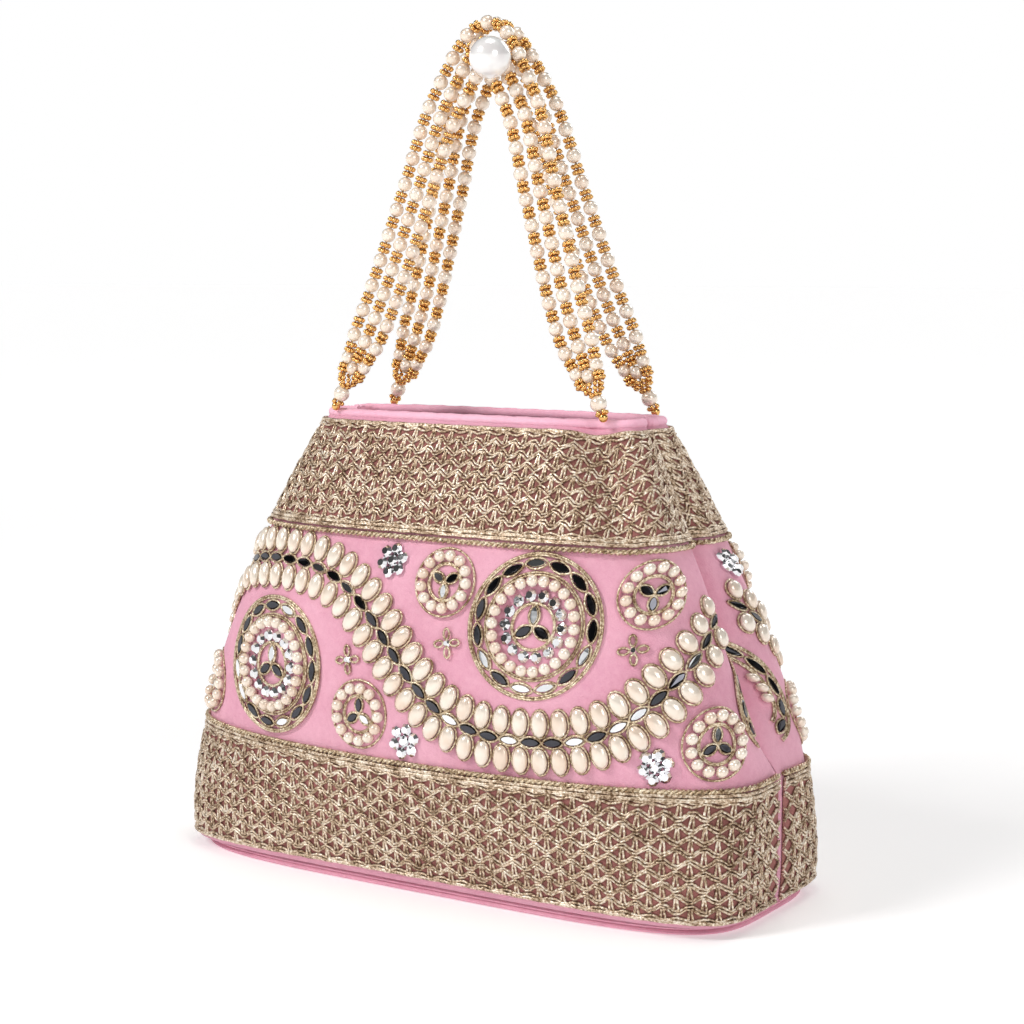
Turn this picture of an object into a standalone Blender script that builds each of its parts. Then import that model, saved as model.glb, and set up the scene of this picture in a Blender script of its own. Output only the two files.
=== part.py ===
"""Potli handbag: velvet pouch with lace bands, pearl embroidery and two beaded handles.

The bag stands on the ground plane with its centre at the origin. Its front faces -Y,
and its two handles swing about lines that run along X at the rim.
"""

import math

import bmesh
import bpy
import numpy as np
from mathutils import Vector

MM = 0.001

# Pouch: widths run along X, depths along Y, heights along Z
BASE_WIDTH = 178.2 * MM
BELLY_WIDTH = 181.2 * MM
RIM_WIDTH = 100.6 * MM
BASE_DEPTH = 73.4 * MM
BELLY_DEPTH = 84.8 * MM
RIM_DEPTH = 27.8 * MM
BODY_HEIGHT = 130.4 * MM
BELLY_HEIGHT = 36.7 * MM
BASE_ROUND = 15.0 * MM

# How fast the width and the depth draw in above the belly
WIDTH_TAPER = 1.16
DEPTH_TAPER = 2.2

# Corner squareness of the outline at the base, the belly and the rim
BASE_SQUARENESS = 4.4
BELLY_SQUARENESS = 2.1
RIM_SQUARENESS = 3.9

# Side fold: the sides are tucked in between a front and a back ridge
BELLY_RIDGE = 13.1 * MM
RIM_RIDGE = 3.8 * MM
FOLD_DEPTH = 12.0 * MM
FOLD_START = 34.0 * MM
FOLD_RUN = 24.0 * MM
FOLD_EASE_HEIGHT = 92.0 * MM
RIM_FOLD_SHARE = 0.5
SEAM_HALF_GAP = 0.15 * MM

# Soft gather in the upper part of each panel, beside its right handle end
GATHER_DEPTH = 2.2 * MM
GATHER_SHARE = 0.73
GATHER_WIDTH = 5.0 * MM
GATHER_START = 90.0 * MM
GATHER_RUN = 26.0 * MM

# Cloth layers
FIT_GAP = 0.3 * MM
TRIM_GAP = 0.45 * MM
PANEL_THICKNESS = 1.6 * MM
LINING_THICKNESS = 0.6 * MM
LINING_GAP = 0.5 * MM
LINING_TOP_DROP = 3.0 * MM

# Base: a covered board under the panels and a stiffener that lies inside
BASE_HEIGHT = 2.6 * MM
BASE_LIP = 1.0 * MM
BASE_GROOVE = 0.5 * MM
BOARD_THICKNESS = 1.5 * MM
BOARD_INSET = 3.4 * MM

# Rim binding that caps each panel
BINDING_HEIGHT = 2.2 * MM
BINDING_OVERHANG = 0.5 * MM
PANEL_TOP = BODY_HEIGHT - BINDING_HEIGHT - FIT_GAP

# Lace bands
LACE_THICKNESS = 0.5 * MM
LACE_RELIEF = 0.8 * MM
LOWER_LACE_FOOT = 5.1 * MM
LOWER_LACE_CORNER_FOOT = 3.2 * MM
LOWER_LACE_TOP = 36.5 * MM
LOWER_LACE_ROWS = 6
EMBROIDERY_HEIGHT = 61.7 * MM
UPPER_LACE_DROP = 1.1 * MM
UPPER_LACE_FOOT = LOWER_LACE_TOP + EMBROIDERY_HEIGHT
UPPER_LACE_TOP = PANEL_TOP - UPPER_LACE_DROP
UPPER_LACE_ROWS = 5
LACE_FOLD_CLEARANCE = 2.3 * MM
LACE_SEAM_CLEARANCE = 1.3 * MM

# Twisted cords sewn along the inner edges of the lace
CORD_RADIUS = 0.65 * MM
CORD_EDGE_GAP = 0.3 * MM
CORD_TWIST_SWELL = 0.12

# Embroidery: one wave with everything else placed from its crest
WAVE_RISE = 31.5 * MM
WAVE_HEIGHT = LOWER_LACE_TOP + WAVE_RISE
WAVE_SWING = 20.4 * MM
WAVE_SIDE_ROOM = 9.2 * MM
WAVE_LENGTH = BELLY_WIDTH - WAVE_SIDE_ROOM
WAVE_SHARPNESS = 0.2
FRONT_CREST = -0.2907 * WAVE_LENGTH
BACK_CREST = -0.6977 * WAVE_LENGTH
SEWN_THICKNESS = 0.5 * MM
ROW_OFFSET = 4.9 * MM
OVAL_LENGTH = 7.2 * MM
OVAL_HEIGHT = 2.6 * MM
OVAL_PITCH = 5.6 * MM
MIRROR_WIDTH = 2.4 * MM
MIRROR_HEIGHT = 0.9 * MM
MIRROR_PITCH = 6.2 * MM
MEDALLION_RADIUS = 19.2 * MM
SMALL_MEDALLION_RADIUS = 9.8 * MM
STONE_FLOWER_RADIUS = 4.8 * MM
ROUND_PEARL_HEIGHT = 2.6 * MM
STONE_HEIGHT = 1.7 * MM
RIDGE_MARGIN = 2.5 * MM
MOTIF_MARGIN = 1.2 * MM

# Height of each motif's middle over the lower lace
LOW_MEDALLION_RISE = 22.4 * MM
HIGH_MEDALLION_RISE = 40.9 * MM
LOW_SMALL_RISE = 12.7 * MM
HIGH_SMALL_RISE = 50.1 * MM
LOW_FLOWER_RISE = 7.1 * MM
HIGH_FLOWER_RISE = 54.5 * MM

# Handles
HANDLE_SPREAD = 44.5 * MM
HANDLE_RISE = 101.6 * MM
HINGE_OUT = 2.5 * MM
HINGE_UP = 0.6 * MM
HANDLE_CROWN_Y = 2.8 * MM
STRANDS = 3
STRAND_SIDES = 5
STRAND_PITCH = 4.9 * MM
STRAND_END_PITCH = 3.0 * MM
STRAND_GATHER_RUN = 16.0 * MM
STRAND_START = 9.6 * MM
BEAD_PERIOD = 7.4 * MM
PEARL_RADIUS = 2.2 * MM
SPACER_RADIUS = 1.15 * MM
STRAND_END_RADIUS = 1.25 * MM
SEED_RADIUS = 1.5 * MM
END_PEARL_RADIUS = 2.3 * MM
COLLAR_RADIUS = 3.1 * MM
COLLAR_HEIGHT = 1.8 * MM
CROWN_PEARL_RADIUS = 5.7 * MM
CROWN_PEARL_X = 7.0 * MM

# Magnetic snap inside the mouth
SNAP_RADIUS = 6.0 * MM
SNAP_THICKNESS = 1.6 * MM
SNAP_DROP = 14.0 * MM

PINK = (0.86, 0.38, 0.56)
BRIGHT_PINK = (0.90, 0.30, 0.55)
LACE_GOLD = (0.62, 0.50, 0.36)
CORD_GOLD = (0.50, 0.38, 0.22)
PEARL = (0.93, 0.84, 0.76)
BEAD_GOLD = (0.80, 0.55, 0.25)
MIRROR = (0.80, 0.81, 0.82)
SATIN = (0.85, 0.45, 0.60)
BOARD_GREY = (0.35, 0.33, 0.31)
STEEL = (0.70, 0.68, 0.62)

OUTLINE_STEPS = 160
FOLD_STEPS = 30


def ease(value):
    """Smooth step from 0 to 1."""
    value = min(max(value, 0.0), 1.0)
    return value * value * (3.0 - 2.0 * value)


def half_sizes(z):
    """Half width, half depth, ridge offset, fold depth and squareness at a height."""
    above = min(max((z - BELLY_HEIGHT) / (BODY_HEIGHT - BELLY_HEIGHT), 0.0), 1.0)
    below = min(max(z / BELLY_HEIGHT, 0.0), 1.0)
    foot = (1.0 - min(max(z / BASE_ROUND, 0.0), 1.0)) ** 2
    width = BELLY_WIDTH - (BELLY_WIDTH - RIM_WIDTH) * above ** WIDTH_TAPER
    width -= (BELLY_WIDTH - BASE_WIDTH) * foot
    if z > BELLY_HEIGHT:
        depth = BELLY_DEPTH - (BELLY_DEPTH - RIM_DEPTH) * above ** DEPTH_TAPER
        power = BELLY_SQUARENESS + (RIM_SQUARENESS - BELLY_SQUARENESS) * above
    else:
        depth = BASE_DEPTH + (BELLY_DEPTH - BASE_DEPTH) * math.sin(math.pi / 2 * below)
        power = BASE_SQUARENESS + (BELLY_SQUARENESS - BASE_SQUARENESS) * below
    ridge = BELLY_RIDGE - (BELLY_RIDGE - RIM_RIDGE) * above
    opening = ease((z - FOLD_EASE_HEIGHT) / (BODY_HEIGHT - FOLD_EASE_HEIGHT))
    fold = FOLD_DEPTH * ease((z - FOLD_START) / FOLD_RUN)
    fold *= 1.0 - (1.0 - RIM_FOLD_SHARE) * opening
    return width / 2, depth / 2, ridge, fold, power


OUTLINES = {}


def outline(z):
    """Right half of the front outline at a height, with its running length."""
    key = round(z, 7)
    if key not in OUTLINES:
        width, depth, ridge, fold, power = half_sizes(z)
        turn = np.linspace(0.0, 1.0, OUTLINE_STEPS + 1) ** 0.8 * math.pi / 2
        tuck = np.linspace(0.0, 1.0, FOLD_STEPS + 1)[1:] * math.pi / 2
        x = np.append(width * np.sin(turn) ** (2 / power), width - fold * (1 - np.cos(tuck)))
        y = np.append(-ridge - (depth - ridge) * np.clip(np.cos(turn), 0, 1) ** (2 / power),
                      -ridge + (ridge - SEAM_HALF_GAP) * np.sin(tuck))
        length = np.append(0.0, np.cumsum(np.hypot(np.diff(x), np.diff(y))))
        OUTLINES[key] = (x, y, length, length[OUTLINE_STEPS])
    return OUTLINES[key]


def ridge_length(z):
    """Length along the cloth from the middle of the front to its side ridge."""
    return outline(z)[3]


def length_at(share, z):
    """Length along the cloth: share 1 is the ridge and share 2 the side seam."""
    length, ridge = outline(z)[2:]
    side = 1.0 if share >= 0 else -1.0
    share = abs(share)
    if share <= 1.0:
        return side * share * ridge
    return side * (ridge + (share - 1.0) * (length[-1] - ridge))


def raw_point(s, z):
    """Point of the plain front surface at cloth length s and height z."""
    x, y, length = outline(z)[:3]
    side = 1.0 if s >= 0 else -1.0
    return Vector((side * np.interp(abs(s), length, x), np.interp(abs(s), length, y), z))


def surface_normal(s, z):
    """Outward direction of the plain front surface."""
    step = 0.3 * MM
    along = raw_point(s + step, z) - raw_point(s - step, z)
    low, high = max(z - step, 0.0), min(z + step, BODY_HEIGHT)
    return along.cross(raw_point(s, high) - raw_point(s, low)).normalized()


def gather(s, z):
    """Depth of the soft gather beside the right handle end."""
    across = math.exp(-((s - GATHER_SHARE * ridge_length(z)) / GATHER_WIDTH) ** 2)
    return GATHER_DEPTH * across * ease((z - GATHER_START) / GATHER_RUN)


def front_point(s, z, lift=0.0):
    """Point at a given lift over the outer face of the front panel."""
    return raw_point(s, z) + surface_normal(s, z) * (lift - gather(s, z))


def slope_share(s, z):
    """Rise in height for each unit of length up the cloth."""
    step = 0.5 * MM
    top = min(z + step, BODY_HEIGHT)
    return 2 * step / (raw_point(s, top) - raw_point(s, top - 2 * step)).length


def design_point(s, z, along, up, lift):
    """Point at flat offsets from a place of the embroidery."""
    return front_point(s + along, z + up * slope_share(s + along, z), lift)


def clear_scene():
    """Remove whatever the scene holds."""
    for item in list(bpy.data.objects):
        bpy.data.objects.remove(item)


def finish(name, colour, roughness, metallic):
    """Plain finish in one colour."""
    material = bpy.data.materials.new(name)
    material.use_nodes = True
    shader = material.node_tree.nodes["Principled BSDF"]
    shader.inputs["Base Color"].default_value = (*colour, 1.0)
    shader.inputs["Roughness"].default_value = roughness
    shader.inputs["Metallic"].default_value = metallic
    return material


def make_finishes():
    """One finish for each kind of piece."""
    return {
        "velvet": finish("velvet", PINK, 0.9, 0.0),
        "binding": finish("binding_velvet", BRIGHT_PINK, 0.9, 0.0),
        "lace": finish("zari_lace", LACE_GOLD, 0.5, 0.3),
        "cord": finish("zari_cord", CORD_GOLD, 0.45, 0.4),
        "pearl": finish("pearl", PEARL, 0.25, 0.0),
        "gold": finish("bead_gold", BEAD_GOLD, 0.3, 1.0),
        "mirror": finish("mirror_foil", MIRROR, 0.1, 1.0),
        "satin": finish("lining_satin", SATIN, 0.5, 0.0),
        "board": finish("board", BOARD_GREY, 0.9, 0.0),
        "steel": finish("snap_steel", STEEL, 0.3, 1.0),
    }


def add_object(name, mesh, material, parent=None):
    """Put a mesh in the scene under its own name and finish."""
    item = bpy.data.objects.new(name, mesh)
    mesh.materials.clear()
    mesh.materials.append(material)
    bpy.context.scene.collection.objects.link(item)
    item.parent = parent
    return item


def mesh_from(bm, name, smooth_angle=40.0):
    """Close a bmesh into a mesh with outward faces and smooth round parts."""
    bmesh.ops.triangulate(bm, faces=[face for face in bm.faces if len(face.verts) > 3])
    bmesh.ops.recalc_face_normals(bm, faces=bm.faces)
    mesh = bpy.data.meshes.new(name)
    bm.to_mesh(mesh)
    bm.free()
    mesh.shade_smooth()
    mesh.set_sharp_from_angle(angle=math.radians(smooth_angle))
    return mesh


def loft(name, rings, turn_back=False, caps=None):
    """Skin over rings of points, closed at both ends by one face or by the given faces."""
    bm = bmesh.new()
    loops = [[bm.verts.new(turned(point, turn_back)) for point in ring] for ring in rings]
    for low, high in zip(loops[:-1], loops[1:]):
        for index in range(len(low)):
            after = (index + 1) % len(low)
            bm.faces.new((low[index], low[after], high[after], high[index]))
    for loop in (loops[0], loops[-1]):
        for corners in caps or (range(len(loop)),):
            bm.faces.new([loop[corner] for corner in corners])
    return mesh_from(bm, name)


def sheet_caps(count):
    """End faces of a ring that runs out along one face of a sheet and back on the other."""
    last = 2 * count - 1
    return [(index, index + 1, last - index - 1, last - index) for index in range(count - 1)]


def ridged_caps(rows):
    """End faces of a lace ring: one for each raised line."""
    last = 3 * rows + 1
    return [(2 * row, 2 * row + 1, 2 * row + 2, last - row - 1, last - row)
            for row in range(rows)]


def turned(point, turn_back):
    """A front point, or the matching point of the back half."""
    if turn_back:
        return Vector((-point.x, -point.y, point.z))
    return point


# Columns of each panel, as shares of the cloth from the left seam to the right seam
LEFT_COLUMNS = (-2.0, -1.4, -1.0, -0.94, -0.86, -0.72, -0.5, -0.25)
RIGHT_COLUMNS = (0.0, 0.25, 0.46, 0.62, 0.68, 0.73, 0.78, 0.86, 0.94, 1.0, 1.4, 2.0)
PANEL_COLUMNS = LEFT_COLUMNS + RIGHT_COLUMNS


def panel_levels(top):
    """Heights of the rows of a panel."""
    shares_low = (0.0, 0.08, 0.28, 0.6)
    shares_high = (0.0, 0.09, 0.22, 0.42, 0.63, 0.82, 1.0)
    foot = BASE_HEIGHT + FIT_GAP
    rows = [foot + (BELLY_HEIGHT - foot) * share for share in shares_low]
    return rows + [BELLY_HEIGHT + (top - BELLY_HEIGHT) * share for share in shares_high]


def inner_point(share, z):
    """Point of the inner face of a panel, opposite the outer point of the same share."""
    width, depth, ridge, fold, power = half_sizes(z)
    tuck = min(1.0, fold / (2 * PANEL_THICKNESS))
    inner_fold = max(fold - PANEL_THICKNESS * tuck, 0.0)
    inner_seam = SEAM_HALF_GAP + PANEL_THICKNESS * tuck
    side = 1.0 if share >= 0 else -1.0
    s = length_at(share, z)
    outer = raw_point(s, z)
    if abs(share) <= 1.0:
        inner_width = width - PANEL_THICKNESS
        inner_depth = depth - PANEL_THICKNESS
        x = abs(outer.x) * inner_width / width
        rise = (abs(outer.y) - ridge) / (depth - ridge)
        y = -ridge - (inner_depth - ridge) * rise
        point = Vector((side * x, y, z))
    else:
        angle = math.asin(min(1.0, (ridge + outer.y) / (ridge - SEAM_HALF_GAP)))
        x = width - PANEL_THICKNESS - inner_fold * (1 - math.cos(angle))
        y = -ridge + (ridge - inner_seam) * math.sin(angle)
        point = Vector((side * x, y, z))
    return point - surface_normal(s, z) * gather(s, z)


def panel_mesh(turn_back):
    """Front or back velvet panel: a thick sheet from one side seam to the other."""
    rings = []
    for z in panel_levels(PANEL_TOP):
        outer = [front_point(length_at(share, z), z) for share in PANEL_COLUMNS]
        inner = [inner_point(share, z) for share in reversed(PANEL_COLUMNS)]
        rings.append(outer + inner)
    return loft("panel", rings, turn_back, sheet_caps(len(PANEL_COLUMNS)))


def binding_mesh(turn_back):
    """Rolled velvet binding over the top edge of one panel."""
    low = BODY_HEIGHT - BINDING_HEIGHT
    profile = ((-0.15, 0.0), (-BINDING_OVERHANG / PANEL_THICKNESS, 0.5), (0.2, 1.0),
               (0.8, 1.0), (1.1, 0.5), (1.0, 0.0))
    rings = []
    for share in PANEL_COLUMNS[1:-1]:
        outer = front_point(length_at(share, low), low)
        inner = inner_point(share, low)
        wall = inner - outer
        ring = []
        for across, up in profile:
            point = outer + wall * across
            ring.append(Vector((point.x, point.y, low + BINDING_HEIGHT * up)))
        rings.append(ring)
    return loft("binding", rings, turn_back)


def lower_lace_foot(share):
    """Lower edge of the lower lace, which dips towards the corners."""
    dip = min(abs(share), 1.0) ** 2
    return LOWER_LACE_FOOT - (LOWER_LACE_FOOT - LOWER_LACE_CORNER_FOOT) * dip


def lace_share(share, z):
    """Share held back from the side seam, so that two folded edges never meet."""
    width, depth, ridge, fold, power = half_sizes(z)
    folded = ease(fold / (4 * LACE_SEAM_CLEARANCE))
    clearance = LACE_SEAM_CLEARANCE + (LACE_FOLD_CLEARANCE - LACE_SEAM_CLEARANCE) * folded
    reach = (ridge - clearance) / (ridge - SEAM_HALF_GAP)
    limit = 1.0 + math.asin(min(max(reach, 0.05), 1.0)) / (math.pi / 2)
    tuck_length = (outline(z)[2][-1] - ridge_length(z))
    held = raw_share(z, limit, tuck_length)
    return math.copysign(min(abs(share), held), share)


def raw_share(z, limit, tuck_length):
    """Share of the cloth that belongs to an angle share of the tuck."""
    width, depth, ridge, fold, power = half_sizes(z)
    angle = np.linspace(0.0, (limit - 1.0) * math.pi / 2, 12)
    x = fold * (1 - np.cos(angle))
    y = (ridge - SEAM_HALF_GAP) * np.sin(angle)
    run = float(np.sum(np.hypot(np.diff(x), np.diff(y))))
    return 1.0 + run / max(tuck_length, MM)


def lace_mesh(foot, top, rows, turn_back):
    """Lace band: a thin sheet whose outer face carries one raised line for each row."""
    rings = []
    for share in PANEL_COLUMNS:
        low = foot(share)
        ring = []
        for step in range(2 * rows + 1):
            z = low + (top - low) * step / (2 * rows)
            held = lace_share(share, z)
            relief = LACE_RELIEF if step % 2 else 0.0
            ring.append(front_point(length_at(held, z), z, TRIM_GAP + LACE_THICKNESS + relief))
        for row in range(rows, -1, -1):
            z = low + (top - low) * row / rows
            held = lace_share(share, z)
            ring.append(front_point(length_at(held, z), z, TRIM_GAP))
        rings.append(ring)
    return loft("lace", rings, turn_back, ridged_caps(rows))


def cord_mesh(height, turn_back):
    """Twisted cord that follows the lace edge round one half of the bag."""
    rings = []
    middles = [sum(pair) / 2 for pair in zip(PANEL_COLUMNS[:-1], PANEL_COLUMNS[1:])]
    for step, share in enumerate(sorted([*PANEL_COLUMNS, *middles])):
        held = lace_share(share, height)
        s = length_at(held, height)
        swell = 1.0 + CORD_TWIST_SWELL * (-1) ** step
        lift = TRIM_GAP + CORD_RADIUS
        centre = front_point(s, height, lift)
        out = surface_normal(s, height)
        up = Vector((0, 0, 1)) - out * out.z
        up.normalize()
        ring = []
        for corner in range(4):
            angle = 2 * math.pi * corner / 4
            radius = CORD_RADIUS * (swell if corner < 2 else 1.0)
            ring.append(centre + out * radius * math.cos(angle) + up * radius * math.sin(angle))
        rings.append(ring)
    return loft("cord", without_repeats(rings), turn_back)


def without_repeats(rings):
    """Drop rings that fall on the one before, where a share was held back."""
    kept = [rings[0]]
    for ring in rings[1:]:
        if (ring[0] - kept[-1][0]).length > 0.6 * MM:
            kept.append(ring)
    return kept


def wave_height(s, crest):
    """Height of the embroidered wave at a cloth length."""
    phase = 2 * math.pi * (s - crest) / WAVE_LENGTH
    return WAVE_HEIGHT + WAVE_SWING * math.cos(phase - WAVE_SHARPNESS * math.sin(2 * phase))


def wave_place(s, crest, offset):
    """Place and direction on a line that runs beside the wave."""
    step = 0.5 * MM
    rise = (wave_height(s + step, crest) - wave_height(s - step, crest)) / (2 * step)
    size = math.hypot(1.0, rise)
    return (s - offset * rise / size, wave_height(s, crest) + offset / size,
            1.0 / size, rise / size)


def wave_stations(crest, offset, pitch):
    """Evenly spaced places along a line beside the wave, from ridge to ridge."""
    places = [wave_place(s, crest, offset) for s in np.arange(-0.125, 0.125, 0.5 * MM)]
    inside = [p for p in places if abs(p[0]) < ridge_length(p[1]) - RIDGE_MARGIN]
    run = [0.0]
    for before, after in zip(inside[:-1], inside[1:]):
        run.append(run[-1] + math.hypot(after[0] - before[0], after[1] - before[1]))
    count = int(run[-1] / pitch)
    margin = (run[-1] - count * pitch) / 2
    columns = list(zip(*inside))
    wanted = [margin + pitch * step / 2 for step in range(2 * count + 1)]
    return [tuple(float(np.interp(at, run, column)) for column in columns) for at in wanted]


def row_mesh(crest, offset, pitch, half_width, height, waist, crown, turn_back):
    """Sewn row: a narrow strip that swells at each pearl and draws in between."""
    rings = []
    for index, (s, z, along, up) in enumerate(wave_stations(crest, offset, pitch)):
        full = index % 2 == 1
        reach = half_width * (1.0 if full else waist)
        lift = TRIM_GAP + (height if full else SEWN_THICKNESS)
        ring = []
        for side, level in ((-1.0, TRIM_GAP), (1.0, TRIM_GAP), *((top, lift) for top in crown)):
            ring.append(design_point(s, z, -up * reach * side, along * reach * side, level))
        rings.append(ring)
    return loft("row", rings, turn_back)


def disc_mesh(place, radius, sectors, profile, turn_back):
    """Round motif: rings at shares of the radius, each with a high and a low lift."""
    s, z = place
    bm = bmesh.new()

    def spot(share, angle, lift):
        point = design_point(s, z, radius * share * math.cos(angle),
                             radius * share * math.sin(angle), lift)
        return bm.verts.new(turned(point, turn_back))

    loops = []
    for share, high, low in profile:
        loop = []
        for index in range(sectors):
            lift = TRIM_GAP + (high if index % 2 else low)
            loop.append(spot(share, 2 * math.pi * index / sectors, lift))
        loops.append(loop)
    angles = [2 * math.pi * index / sectors for index in range(sectors)]
    for share in (1.0, 0.55) if radius > 2 * STONE_FLOWER_RADIUS else (1.0,):
        loops.append([spot(share, angle, TRIM_GAP) for angle in angles])
    for inner, outer in zip(loops[:-1], loops[1:]):
        for index in range(sectors):
            after = (index + 1) % sectors
            bm.faces.new((inner[index], outer[index], outer[after], inner[after]))
    top = spot(0.0, 0.0, TRIM_GAP + profile[0][2])
    bottom = spot(0.0, 0.0, TRIM_GAP)
    for index in range(sectors):
        after = (index + 1) % sectors
        bm.faces.new((top, loops[0][index], loops[0][after]))
        bm.faces.new((bottom, loops[-1][after], loops[-1][index]))
    return mesh_from(bm, "motif")


# Motifs of one wave: share of its length past the crest, and height over the lower lace
BIG_MOTIFS = ((0.0, LOW_MEDALLION_RISE), (0.5058, HIGH_MEDALLION_RISE))
SMALL_MOTIFS = ((0.1977, LOW_SMALL_RISE), (0.339, HIGH_SMALL_RISE),
                (0.686, HIGH_SMALL_RISE), (0.8023, LOW_SMALL_RISE))
STONE_FLOWERS = ((0.2326, HIGH_FLOWER_RISE), (0.2884, LOW_FLOWER_RISE),
                 (0.7105, LOW_FLOWER_RISE))


def motif_places(motifs, crest, radius):
    """Every repeat of the motifs that lies whole between the two ridges."""
    places = []
    for turn in (-1, 0, 1):
        for along, rise in motifs:
            s, z = crest + (turn + along) * WAVE_LENGTH, LOWER_LACE_TOP + rise
            if abs(s) + radius < ridge_length(z) - MOTIF_MARGIN:
                places.append((s, z))
    return sorted(places)


def build_embroidery(side, crest, finishes, turn_back):
    """Rows, medallions and stone flowers of one panel."""
    rows = (("upper_pearl_row", ROW_OFFSET), ("lower_pearl_row", -ROW_OFFSET))
    for name, offset in rows:
        mesh = row_mesh(crest, offset, OVAL_PITCH, OVAL_LENGTH / 2, OVAL_HEIGHT, 0.8,
                        (0.45, -0.45), turn_back)
        add_object(f"{side}_{name}", mesh, finishes["pearl"])
    mesh = row_mesh(crest, 0.0, MIRROR_PITCH, MIRROR_WIDTH / 2, MIRROR_HEIGHT, 0.45,
                    (0.0,), turn_back)
    add_object(f"{side}_mirror_row", mesh, finishes["mirror"])
    pearl, stone, flat = ROUND_PEARL_HEIGHT, STONE_HEIGHT, SEWN_THICKNESS
    big = ((0.3, flat, flat), (0.42, stone, flat * 1.6), (0.5, flat, flat),
           (0.61, pearl, flat * 1.6), (0.7, flat, flat), (0.86, MIRROR_HEIGHT, flat),
           (1.0, flat, flat))
    small = ((0.3, MIRROR_HEIGHT, MIRROR_HEIGHT), (0.55, flat, flat), (0.77, pearl, flat * 1.6),
             (1.0, flat, flat))
    flower = ((0.3, stone, stone), (0.45, flat, flat), (0.72, stone, flat), (1.0, flat, flat))
    kinds = (("medallion", BIG_MOTIFS, MEDALLION_RADIUS, 22, big, "pearl"),
             ("small_medallion", SMALL_MOTIFS, SMALL_MEDALLION_RADIUS, 16, small, "pearl"),
             ("stone_flower", STONE_FLOWERS, STONE_FLOWER_RADIUS, 12, flower, "mirror"))
    for name, motifs, radius, sectors, profile, colour in kinds:
        for number, place in enumerate(motif_places(motifs, crest, radius), 1):
            mesh = disc_mesh(place, radius, sectors, profile, turn_back)
            add_object(f"{side}_{name}_{number}", mesh, finishes[colour])


def build_side(side, crest, finishes, turn_back):
    """One half of the bag: its panel, binding, lace, cords and embroidery."""
    add_object(f"{side}_panel", panel_mesh(turn_back), finishes["velvet"])
    add_object(f"{side}_rim_binding", binding_mesh(turn_back), finishes["binding"])
    lower = lace_mesh(lower_lace_foot, LOWER_LACE_TOP, LOWER_LACE_ROWS, turn_back)
    add_object(f"{side}_lower_lace", lower, finishes["lace"])
    upper = lace_mesh(lambda share: UPPER_LACE_FOOT, UPPER_LACE_TOP, UPPER_LACE_ROWS, turn_back)
    add_object(f"{side}_upper_lace", upper, finishes["lace"])
    drop = CORD_RADIUS * (1 + CORD_TWIST_SWELL) + CORD_EDGE_GAP
    add_object(f"{side}_lower_cord", cord_mesh(LOWER_LACE_TOP + drop, turn_back),
               finishes["cord"])
    add_object(f"{side}_upper_cord", cord_mesh(UPPER_LACE_FOOT - drop, turn_back),
               finishes["cord"])
    build_embroidery(side, crest, finishes, turn_back)


def round_outline(z, inset, sides):
    """Plain closed outline of the bag at a height, drawn in by an inset."""
    width, depth, ridge, fold, power = half_sizes(z)
    width = width - fold - inset
    depth = depth - inset
    points = []
    for index in range(sides):
        angle = 2 * math.pi * index / sides
        x = math.copysign(abs(math.cos(angle)) ** (2 / power), math.cos(angle)) * width
        y = math.copysign(abs(math.sin(angle)) ** (2 / power), math.sin(angle)) * depth
        points.append(Vector((x, y, z)))
    return points


def base_outline(inset, z, sides=32):
    """Outline of the foot of the bag, drawn in by an inset, laid at a height."""
    width, depth = BASE_WIDTH / 2 - inset, BASE_DEPTH / 2 - inset
    points = []
    for index in range(sides):
        angle = 2 * math.pi * (index + 0.5) / sides
        x = math.copysign(abs(math.cos(angle)) ** (2 / BASE_SQUARENESS), math.cos(angle)) * width
        y = math.copysign(abs(math.sin(angle)) ** (2 / BASE_SQUARENESS), math.sin(angle)) * depth
        points.append(Vector((x, y, z)))
    return points


def build_base(finishes):
    """Velvet covered base with a welted edge, and the stiffener that lies on it."""
    middle = BASE_HEIGHT / 2
    steps = ((BASE_LIP, 0.0), (0.0, middle * 0.5), (BASE_GROOVE, middle),
             (0.0, middle * 1.5), (BASE_LIP * 0.6, BASE_HEIGHT))
    rings = [base_outline(inset, z) for inset, z in steps]
    add_object("base_panel", loft("base", rings), finishes["velvet"])
    foot = BASE_HEIGHT + FIT_GAP
    rings = [base_outline(BOARD_INSET, foot), base_outline(BOARD_INSET, foot + BOARD_THICKNESS)]
    add_object("base_stiffener", loft("stiffener", rings), finishes["board"])


def build_lining(finishes):
    """Satin lining: an open bag that hangs inside the panels and covers the stiffener."""
    inset = PANEL_THICKNESS + LINING_GAP
    floor = BASE_HEIGHT + 2 * FIT_GAP + BOARD_THICKNESS
    top = BODY_HEIGHT - LINING_TOP_DROP
    sides = 18
    shares = (0.0, 0.1, 0.28, 0.38, 0.5, 0.75, 1.0)
    levels = [floor + (top - floor) * share for share in shares]
    outer = [round_outline(max(z, BELLY_HEIGHT * 0.5), inset, sides) for z in levels]
    for ring, z in zip(outer, levels):
        for point in ring:
            point.z = z
    outer[0] = [Vector((p.x * 0.93, p.y * 0.9, floor)) for p in outer[0]]
    inner = []
    for ring in outer:
        reach = max(point.x for point in ring)
        depth = max(point.y for point in ring)
        scale_x = (reach - LINING_THICKNESS) / reach
        scale_y = (depth - LINING_THICKNESS) / depth
        inner.append([Vector((p.x * scale_x, p.y * scale_y, p.z)) for p in ring])
    inner[0] = [Vector((p.x, p.y, floor + LINING_THICKNESS)) for p in inner[0]]
    rings = outer + inner[::-1]
    add_object("lining", loft("lining", rings), finishes["satin"])


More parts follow.
